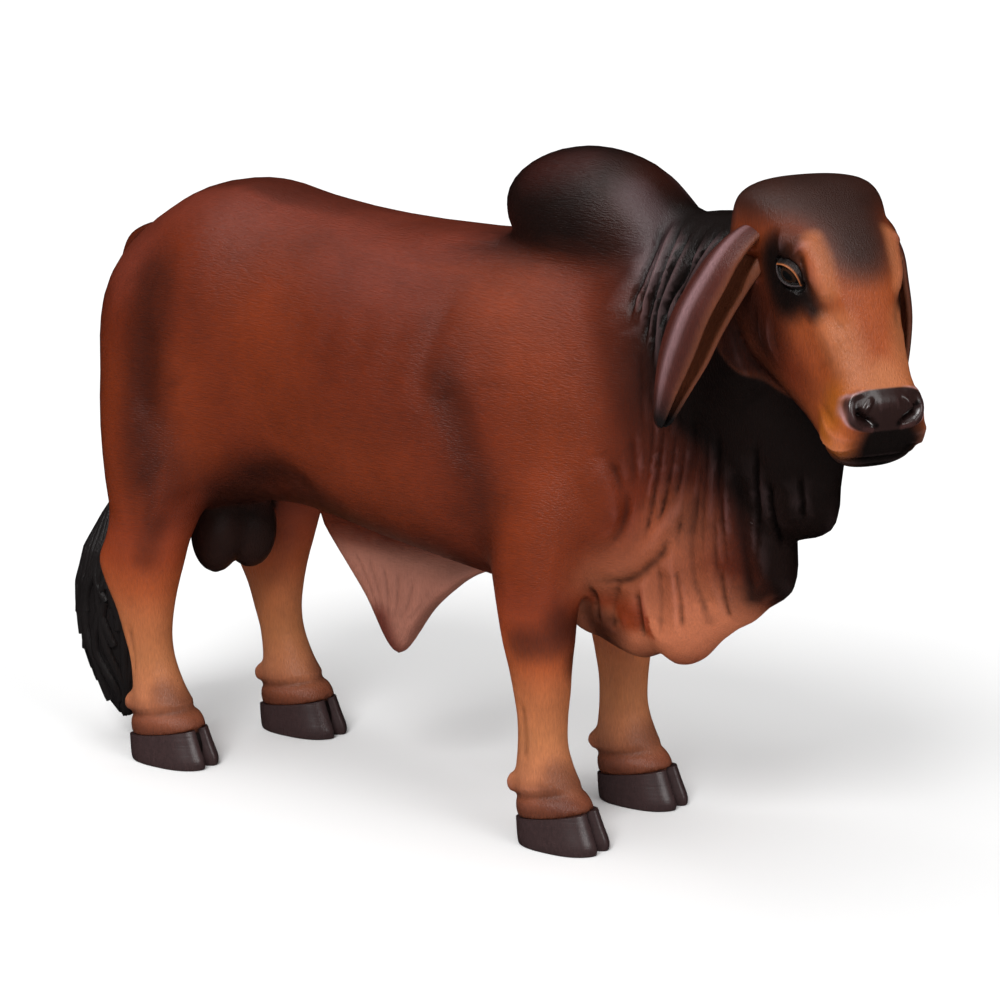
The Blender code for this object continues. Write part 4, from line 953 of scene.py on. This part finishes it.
def node(tree, kind, values=(), **settings):
    """One shader node, with its settings and its unlinked inputs."""
    made = tree.nodes.new(kind)
    for key, value in settings.items():
        setattr(made, key, value)
    for key, value in dict(values).items():
        made.inputs[key].default_value = value
    return made


def grain(tree, scale, turn, detail=3.0):
    """Noise drawn out along one direction of the piece: fine, combed hair strokes."""
    where = node(tree, "ShaderNodeTexCoord")
    turned = node(tree, "ShaderNodeMapping", {"Rotation": turn, "Scale": scale})
    noise = node(tree, "ShaderNodeTexNoise", {"Scale": 1.0, "Detail": detail, "Roughness": 0.6})
    tree.links.new(where.outputs["Object"], turned.inputs["Vector"])
    tree.links.new(turned.outputs["Vector"], noise.inputs["Vector"])
    return noise.outputs["Fac"]


def blend_values(tree, share, first, second):
    mixed = node(tree, "ShaderNodeMix", data_type="FLOAT")
    for socket, value in zip(("Factor", "A", "B"), (share, first, second)):
        tree.links.new(value, mixed.inputs[socket])
    return mixed.outputs["Result"]


def fixed(tree, value):
    made = node(tree, "ShaderNodeValue")
    made.outputs[0].default_value = value
    return made.outputs[0]


def remap(tree, value, low, high, to_low, to_high):
    scaled = node(tree, "ShaderNodeMapRange",
                  {"From Min": low, "From Max": high, "To Min": to_low, "To Max": to_high})
    tree.links.new(value, scaled.inputs["Value"])
    return scaled.outputs["Result"]


def scaled_colour(tree, colour, factor):
    """A colour darkened or lightened by a value round 1."""
    mixed = node(tree, "ShaderNodeVectorMath", operation="SCALE")
    tree.links.new(colour, mixed.inputs[0])
    tree.links.new(factor, mixed.inputs["Scale"])
    return mixed.outputs[0]


def airbrushed(name):
    """Satin airbrushed lacquer over combed hair strokes, smooth and glossy where it is bare."""
    material, tree, shader = lacquer(name)
    paint = node(tree, "ShaderNodeAttribute", attribute_name="coat")
    down = node(tree, "ShaderNodeAttribute", attribute_name="downward").outputs["Fac"]
    glossy = node(tree, "ShaderNodeAttribute", attribute_name="bare").outputs["Fac"]
    swept = grain(tree, (44.0, 300.0, 300.0), (0.0, math.radians(-35.0), 0.0), 4.0)
    combed = grain(tree, (300.0, 300.0, 50.0), (0.0, 0.0, 0.0), 4.0)
    strokes = blend_values(tree, down, swept, combed)
    cloud = grain(tree, (7.0, 7.0, 7.0), (0.0, 0.0, 0.0), 4.0)
    tone = scaled_colour(tree, paint.outputs["Color"], remap(tree, strokes, 0.3, 0.7, 0.86, 1.15))
    tone = scaled_colour(tree, tone, remap(tree, cloud, 0.3, 0.7, 0.86, 1.13))
    tree.links.new(tone, shader.inputs["Base Color"])
    worn = remap(tree, strokes, 0.3, 0.7, 0.44, 0.28)
    tree.links.new(blend_values(tree, glossy, worn, fixed(tree, 0.26)), shader.inputs["Roughness"])
    tree.links.new(remap(tree, glossy, 0.0, 1.0, 0.28, 0.5), shader.inputs["Specular IOR Level"])
    bump = node(tree, "ShaderNodeBump", {"Strength": 0.7, "Distance": 0.003})
    tree.links.new(strokes, bump.inputs["Height"])
    tree.links.new(remap(tree, glossy, 0.0, 1.0, 0.8, 0.1), bump.inputs["Strength"])
    tree.links.new(bump.outputs["Normal"], shader.inputs["Normal"])
    return material


# At the coronet the skin tucks in under the top of the hoof
for foot_x, foot_y in FEET.values():
    plane = HOOF_HEIGHT + math.tan(HOOF_SLOPE) * (place[:, 0] - foot_x)
    tuck = eased(plane - place[:, 2], -0.004, 0.004) * (np.abs(place[:, 0] - foot_x) < 0.2)
    tuck = tuck * (np.abs(place[:, 1] - foot_y) < 0.14)
    tint(tuck * eased(plane - place[:, 2], 0.002, 0.008), BLACK)
    place[:, 0] += (foot_x - place[:, 0]) * tuck * 0.16
    place[:, 1] += (foot_y - place[:, 1]) * tuck * 0.16
skin.data.vertices.foreach_set("co", place.ravel())
skin.data.update()
store(skin.data, "coat", coat)
store(skin.data, "downward", downward)
store(skin.data, "bare", bare)
finished(skin, airbrushed("airbrushed_skin"))
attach(skin, "root")
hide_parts(*SKIN_NODES)

# Eyes
# A cast ball in each socket, painted a very dark brown and clear-coated until it is glassy.
eye_paint, tree, shader = lacquer("clear_coated_eye")
paint = node(tree, "ShaderNodeAttribute", attribute_name="coat")
tree.links.new(paint.outputs["Color"], shader.inputs["Base Color"])
shader.inputs["Roughness"].default_value = 0.14
shader.inputs["Specular IOR Level"].default_value = 0.3
for word, (centre, gaze, along, upward) in eyes.items():
    work = bmesh.new()
    bmesh.ops.create_uvsphere(work, u_segments=64, v_segments=40, radius=EYE_RADIUS)
    mesh = bpy.data.meshes.new("eyeball_" + word)
    work.to_mesh(mesh)
    work.free()
    turned = Matrix((along, gaze.cross(along), gaze)).transposed().to_4x4()
    mesh.transform(Matrix.Translation(centre) @ turned)
    spots = points_of(mesh)
    local = (spots - np.array(centre)) / EYE_RADIUS
    facing = local @ np.array(gaze)
    sideways = np.hypot(local @ np.array(along) * 0.6, local @ np.array(upward) * 1.1)
    tones = np.tile(np.array((0.04, 0.028, 0.024)), (len(spots), 1))
    iris = eased(facing, 0.62, 0.7)[:, None]
    tones = tones * (1 - iris) + np.array((0.022, 0.01, 0.006)) * iris
    pupil = (eased(-sideways, -0.36, -0.28) * (facing > 0))[:, None]
    tones = tones * (1 - pupil) + np.array((0.003, 0.003, 0.003)) * pupil
    store(mesh, "coat", tones)
    eyeball = keep(mesh, "eyeball_" + word)
    finished(eyeball, eye_paint)
    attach(eyeball, "root")
    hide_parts("eye_" + word)

# Ears
# Long pendulous leaves cast in one with the head: a thick rolled back with a painted
# highlight down it, a narrow cup that opens forwards and inwards, and a blunt dark tip.
EAR_LINE = [
    # forward, up, outwards, half size across the opening, half size along it
    (0.024, -0.128, 0.066, 0.02, 0.02),
    (0.027, -0.13, 0.1, 0.042, 0.04),
    (0.03, -0.143, 0.145, 0.056, 0.05),
    (0.02, -0.182, 0.185, 0.063, 0.052),
    (-0.002, -0.24, 0.216, 0.068, 0.05),
    (-0.025, -0.31, 0.246, 0.07, 0.047),
    (-0.052, -0.385, 0.264, 0.065, 0.043),
    (-0.076, -0.45, 0.276, 0.05, 0.035),
    (-0.094, -0.505, 0.284, 0.034, 0.026),
    (-0.106, -0.54, 0.288, 0.022, 0.019),
    (-0.11, -0.552, 0.289, 0.01, 0.01),
]
EAR_BACK = (0.062, 0.015, 0.011)
EAR_HIGHLIGHT = (0.3, 0.17, 0.18)
EAR_CUP = (0.15, 0.044, 0.02)
EAR_TIP = (0.01, 0.008, 0.008)
EAR_OPENING = math.radians(20)      # how far the cup turns in towards the face
HALF_ARC = math.radians(135)
ARC_STEPS = 28
ear_paint = airbrushed("airbrushed_ear")
for side, word in ((-1, "right"), (1, "left")):
    drop_by, spread = (1.0, 1.0) if side < 0 else (1.13, 0.96)
    line = []
    for forward, up, out, long_half, wide_half in EAR_LINE:
        spot = POLL + AHEAD * forward + ACROSS * (side * out * spread)
        line.append((spot.x, spot.y, spot.z + (up + 0.13) * drop_by - 0.13, long_half, wide_half))
    rows = smoothed(line, 8)
    opening_way = AHEAD * math.cos(EAR_OPENING) - ACROSS * side * math.sin(EAR_OPENING)
    rings, tones = [], []
    for i, row in enumerate(rows):
        share = i / (len(rows) - 1)
        middle, long_half, wide_half = Vector(row[0:3]), row[3], row[4]
        before, after = rows[max(i - 1, 0)], rows[min(i + 1, len(rows) - 1)]
        down = Vector(after[0:3] - before[0:3]).normalized()
        front = (opening_way - down * opening_way.dot(down)).normalized()
        out = front.cross(down) * side
        out = out if out.dot(ACROSS * side) > 0 else -out
        cupped = min(max((share - 0.16) / 0.2, 0.0), 1.0)
        wall = 0.008 + 0.008 * (1 - share)
        inner_long = max(long_half - wall, 0.003) * (0.4 + 0.6 * cupped)
        inner_wide = max(wide_half - wall, 0.003) * (0.4 + 0.6 * cupped)
        tip = min(max((share - 0.7) / 0.16, 0.0), 1.0)
        ring = []
        for size_a, size_b, way in ((long_half, wide_half, 1), (inner_long, inner_wide, -1)):
            for k in range(ARC_STEPS + 1):
                angle = HALF_ARC * (2 * k / ARC_STEPS - 1) * way
                ring.append(middle - front * size_a * math.cos(angle) + out * size_b * math.sin(angle))
                # A painted highlight down the middle of the rolled back
                painted_highlight = math.exp(-((angle - 1.4) / 0.18) ** 2) * math.sin(math.pi * min(share * 1.1, 1.0))
                tone = EAR_CUP
                if way == 1:
                    lip = min(max((abs(angle) - 2.0) / 0.4, 0.0), 1.0)
                    tone = [a + (b - a) * painted_highlight * 0.8 for a, b in zip(EAR_BACK, EAR_HIGHLIGHT)]
                    tone = [a + (b - a) * lip for a, b in zip(tone, EAR_CUP)]
                tones.append([a + (b - a) * tip for a, b in zip(tone, EAR_TIP)])
        rings.append(ring)
    ear = skin_rings("ear_leaf_" + word, rings)
    store(ear.data, "coat", np.array(tones))
    store(ear.data, "downward", np.ones(len(tones)))
    round_edge = ear.modifiers.new("round", "SUBSURF")
    round_edge.levels = 1
    round_edge.render_levels = 1
    settle(ear)
    finished(ear, ear_paint)
    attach(ear, "root")
    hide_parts("ear_" + word)

# Hooves
# Cloven hooves with a flat sole, cast solid and painted a dark satin horn brown.
HORN_BROWN = (0.036, 0.02, 0.02, 1.0)
HOOF_LEVELS = [
    # height, share of the full outline, shift forward
    (0.0, 0.95, 0.004),
    (0.004, 0.99, 0.004),
    (0.022, 1.0, 0.002),
    (0.06, 0.945, -0.008),
    (0.12, 0.86, -0.022),
]
HOOF_SIDES = 120
horn, tree, shader = lacquer("satin_horn")
bands = grain(tree, (9.0, 9.0, 190.0), (0.0, 0.0, 0.0))
speckle = grain(tree, (260.0, 260.0, 60.0), (0.0, 0.0, 0.0))
base = node(tree, "ShaderNodeRGB")
base.outputs[0].default_value = HORN_BROWN
shade = scaled_colour(tree, base.outputs[0], remap(tree, speckle, 0.3, 0.7, 0.8, 1.25))
tree.links.new(shade, shader.inputs["Base Color"])
tree.links.new(remap(tree, speckle, 0.3, 0.7, 0.34, 0.26), shader.inputs["Roughness"])
rings_bump = node(tree, "ShaderNodeBump", {"Strength": 0.35, "Distance": 0.0015})
tree.links.new(bands, rings_bump.inputs["Height"])
tree.links.new(rings_bump.outputs["Normal"], shader.inputs["Normal"])
shader.inputs["Specular IOR Level"].default_value = 0.6
for corner, (foot_x, foot_y) in FEET.items():
    length = 0.112 if corner.startswith("front") else 0.117
    width = 0.077
    rings = []
    for height, share, ahead in smoothed(HOOF_LEVELS, 5):
        ring = []
        for k in range(HOOF_SIDES):
            angle = 2 * math.pi * (k + 0.5) / HOOF_SIDES
            along, across = superellipse(angle, 2.5)
            deep_cut, wide_cut = (0.3, 0.16) if along > 0 else (0.12, 0.2)
            cleft = deep_cut * math.exp(-(across / wide_cut) ** 2)
            ring.append(Vector((foot_x + ahead + length * share * along * (1 - cleft),
                                foot_y + width * share * across, height)))
        rings.append(ring)
    hoof = skin_rings("cast_hoof_" + corner, rings)
    work = bmesh.new()
    work.from_mesh(hoof.data)
    slant = Vector((-math.sin(HOOF_SLOPE), 0.0, math.cos(HOOF_SLOPE)))
    cut = bmesh.ops.bisect_plane(work, geom=work.verts[:] + work.edges[:] + work.faces[:],
                                 plane_co=(foot_x, foot_y, HOOF_HEIGHT), plane_no=slant, clear_outer=True)
    rim = [item for item in cut["geom_cut"] if isinstance(item, bmesh.types.BMEdge)]
    bmesh.ops.contextual_create(work, geom=rim)
    bmesh.ops.recalc_face_normals(work, faces=work.faces)
    work.to_mesh(hoof.data)
    work.free()
    finished(hoof, horn)
    hoof.data.set_sharp_from_angle(angle=math.radians(50))
    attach(hoof, "root")
    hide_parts("hoof_" + corner)

# Tail
# The dock lies down the cleft of the rump, and ends in a heavy switch of carved,
# overlapping locks beside the right hock.
TAIL = [
    # middle, fore-and-aft half size, sideways half size
    (-0.7, 0.0, 1.33, 0.02, 0.05),
    (-0.78, 0.0, 1.305, 0.04, 0.05),
    (-0.842, 0.0, 1.255, 0.04, 0.042),
    (-0.88, 0.0, 1.14, 0.032, 0.036),
    (-0.896, 0.0, 0.98, 0.028, 0.028),
    (-0.88, -0.01, 0.84, 0.026, 0.026),
    (-0.85, -0.03, 0.73, 0.028, 0.028),
    (-0.826, -0.055, 0.645, 0.034, 0.034),
    (-0.838, -0.095, 0.57, 0.056, 0.046),
    (-0.856, -0.118, 0.49, 0.078, 0.058),
    (-0.862, -0.128, 0.4, 0.094, 0.066),
    (-0.858, -0.13, 0.32, 0.098, 0.068),
    (-0.852, -0.132, 0.24, 0.092, 0.064),
    (-0.84, -0.134, 0.17, 0.074, 0.05),
    (-0.826, -0.138, 0.115, 0.046, 0.032),
    (-0.816, -0.14, 0.074, 0.014, 0.014),
]
TAIL_BLACK = (0.01, 0.008, 0.008)
SWITCH_SHRINK = 0.93          # the core of the switch, under the locks
core_rows = []
for x_mid, y_mid, z_mid, long_half, wide_half in TAIL:
    size = SWITCH_SHRINK if z_mid < 0.7 else 1.0
    core_rows.append((x_mid + long_half * size, y_mid, z_mid, x_mid - long_half * size, y_mid, z_mid,
                      wide_half * size, 2.1, 0.5, 0))
dock = loft("tail_core", core_rows, 32, 5)
heights = points_of(dock.data)[:, 2]
fade = eased(-heights, -1.2, -0.72)[:, None]
store(dock.data, "coat", np.array(MAHOGANY) * (1 - fade) * 0.7 + np.array(TAIL_BLACK) * fade)
store(dock.data, "downward", np.ones(len(heights)))
finished(dock, airbrushed("airbrushed_tail"))
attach(dock, "root")

rng = np.random.default_rng(7)
switch_rows = np.array([row for row in TAIL if row[2] < 0.7])


def switch_at(height):
    """Middle and half sizes of the switch at a height."""
    order = switch_rows[::-1]
    return [np.interp(height, order[:, 2], order[:, i]) for i in (0, 1, 3, 4)]


LOCK_COUNT = 64
LOCK_STEPS = 25
SWITCH_END = 0.078            # lowest height of a lock's middle
curves = bpy.data.curves.new("lock_lines", "CURVE")
curves.dimensions = "3D"
for index in range(LOCK_COUNT):
    turn = 2 * math.pi * ((index * 0.618) % 1.0)
    top = 0.66 - 0.3 * ((index * 0.377) % 1.0)
    length = 0.24 + 0.12 * rng.random()
    bend = rng.uniform(-0.5, 0.7)
    wave = rng.uniform(0.1, 0.28)
    phase = rng.uniform(0, 2 * math.pi)
    spline = curves.splines.new("POLY")
    spline.points.add(LOCK_STEPS)
    for step in range(LOCK_STEPS + 1):
        share = step / LOCK_STEPS
        height = max(top - length * share, SWITCH_END)
        mid_x, mid_y, long_half, wide_half = switch_at(height)
        angle = turn + bend * share + wave * math.sin(5.5 * share + phase)
        spot = Vector((mid_x + long_half * SWITCH_SHRINK * math.cos(angle),
                       mid_y + wide_half * SWITCH_SHRINK * math.sin(angle), height))
        spline.points[step].co = (*spot, 1.0)
        spline.points[step].radius = max(math.sin(math.pi * min(0.08 + 0.86 * share, 0.97)) ** 0.8, 0.05)
lock_lines = bpy.data.objects.new("tail_locks", curves)
bpy.context.scene.collection.objects.link(lock_lines)
lock_paint = airbrushed("airbrushed_locks")

lock_tree = bpy.data.node_groups.new("tapered_locks", "GeometryNodeTree")
lock_tree.interface.new_socket("Geometry", in_out="INPUT", socket_type="NodeSocketGeometry")
width_socket = lock_tree.interface.new_socket("Lock Half Width", in_out="INPUT",
                                              socket_type="NodeSocketFloat")
sides_socket = lock_tree.interface.new_socket("Lock Sides", in_out="INPUT", socket_type="NodeSocketInt")
lock_tree.interface.new_socket("Geometry", in_out="OUTPUT", socket_type="NodeSocketGeometry")
group_in = lock_tree.nodes.new("NodeGroupInput")
group_out = lock_tree.nodes.new("NodeGroupOutput")
outline = lock_tree.nodes.new("GeometryNodeCurvePrimitiveCircle")
sweep = lock_tree.nodes.new("GeometryNodeCurveToMesh")
realize = lock_tree.nodes.new("GeometryNodeRealizeInstances")
finish = lock_tree.nodes.new("GeometryNodeSetMaterial")
sweep.inputs["Fill Caps"].default_value = True
finish.inputs["Material"].default_value = lock_paint
for source, output, target, entry in (
        (group_in, "Lock Half Width", outline, "Radius"), (group_in, "Lock Sides", outline, "Resolution"),
        (group_in, "Geometry", sweep, "Curve"), (outline, "Curve", sweep, "Profile Curve"),
        (sweep, "Mesh", realize, "Geometry"), (realize, "Geometry", finish, "Geometry"),
        (finish, "Geometry", group_out, "Geometry")):
    lock_tree.links.new(source.outputs[output], target.inputs[entry])
growth = lock_lines.modifiers.new("locks", "NODES")
growth.node_group = lock_tree
growth[width_socket.identifier] = 0.0125
growth[sides_socket.identifier] = 10
graph = bpy.context.evaluated_depsgraph_get()
lock_mesh = bpy.data.meshes.new_from_object(lock_lines.evaluated_get(graph))
bpy.data.objects.remove(lock_lines)
switch = keep(lock_mesh, "tail_switch")
heights = points_of(lock_mesh)[:, 2]
store(lock_mesh, "coat", np.tile(np.array(TAIL_BLACK), (len(heights), 1)))
store(lock_mesh, "downward", np.ones(len(heights)))
lock_mesh.transform(HOME)
smooth_shade(lock_mesh)
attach(switch, "root")
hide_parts("tail")

# Studio
# A plain pale floor, a soft key light beside the camera, softer ones in front and
# overhead, and a little light from all round. Only the lamps are mirrored in the lacquer.
FLOOR_SIZE = 400.0
floor_mesh = bpy.data.meshes.new("floor")
half = FLOOR_SIZE / 2
corners = [(-half, -half, 0), (half, -half, 0), (half, half, 0), (-half, half, 0)]
floor_mesh.from_pydata(corners, [], [(0, 1, 2, 3)])
floor = keep(floor_mesh, "floor")
floor_paint, tree, shader = lacquer("pale_floor")
shader.inputs["Base Color"].default_value = (0.8, 0.8, 0.8, 1.0)
shader.inputs["Roughness"].default_value = 1.0
shader.inputs["Specular IOR Level"].default_value = 0.0
floor_mesh.materials.append(floor_paint)
floor.visible_glossy = False

world = bpy.data.worlds.new("studio")
world.use_nodes = True
background = world.node_tree.nodes["Background"]
background.inputs["Color"].default_value = (1.0, 1.0, 1.0, 1.0)
background.inputs["Strength"].default_value = 0.4
bpy.context.scene.world = world
world.cycles_visibility.glossy = False


def soft_light(name, azimuth, elevation, spread, power):
    """Even light from far away, given round from the front of the bull's right side."""
    light = bpy.data.lights.new(name, "SUN")
    light.energy = power
    light.angle = math.radians(spread)
    turn, rise = math.radians(azimuth), math.radians(elevation)
    way = Vector((math.sin(turn) * math.cos(rise), -math.cos(turn) * math.cos(rise), math.sin(rise)))
    obj = bpy.data.objects.new(name, light)
    obj.rotation_euler = way.to_track_quat("Z", "Y").to_euler()
    bpy.context.scene.collection.objects.link(obj)


for lamp in (("key_light", 15.0, 42.0, 24.0, 2.2), ("front_light", 75.0, 30.0, 30.0, 0.8),
             ("top_light", -40.0, 78.0, 50.0, 1.3)):
    soft_light(*lamp)

bpy.context.scene.view_settings.view_transform = "Standard"

# Camera, at the photograph's angle and distance
camera_data = bpy.data.cameras.new("camera")
camera_data.lens = 144.48         # millimetres, solved from the photograph
camera_data.sensor_width = 36.0
camera = bpy.data.objects.new("camera", camera_data)
camera_at = HOME @ Vector((5.6278, -7.5338, 2.9677))
looks_at = HOME @ Vector((0.26355, -0.01332, 0.75))
camera.location = camera_at
camera.rotation_euler = (looks_at - camera_at).to_track_quat("-Z", "Y").to_euler()
bpy.context.scene.collection.objects.link(camera)
bpy.context.scene.camera = camera
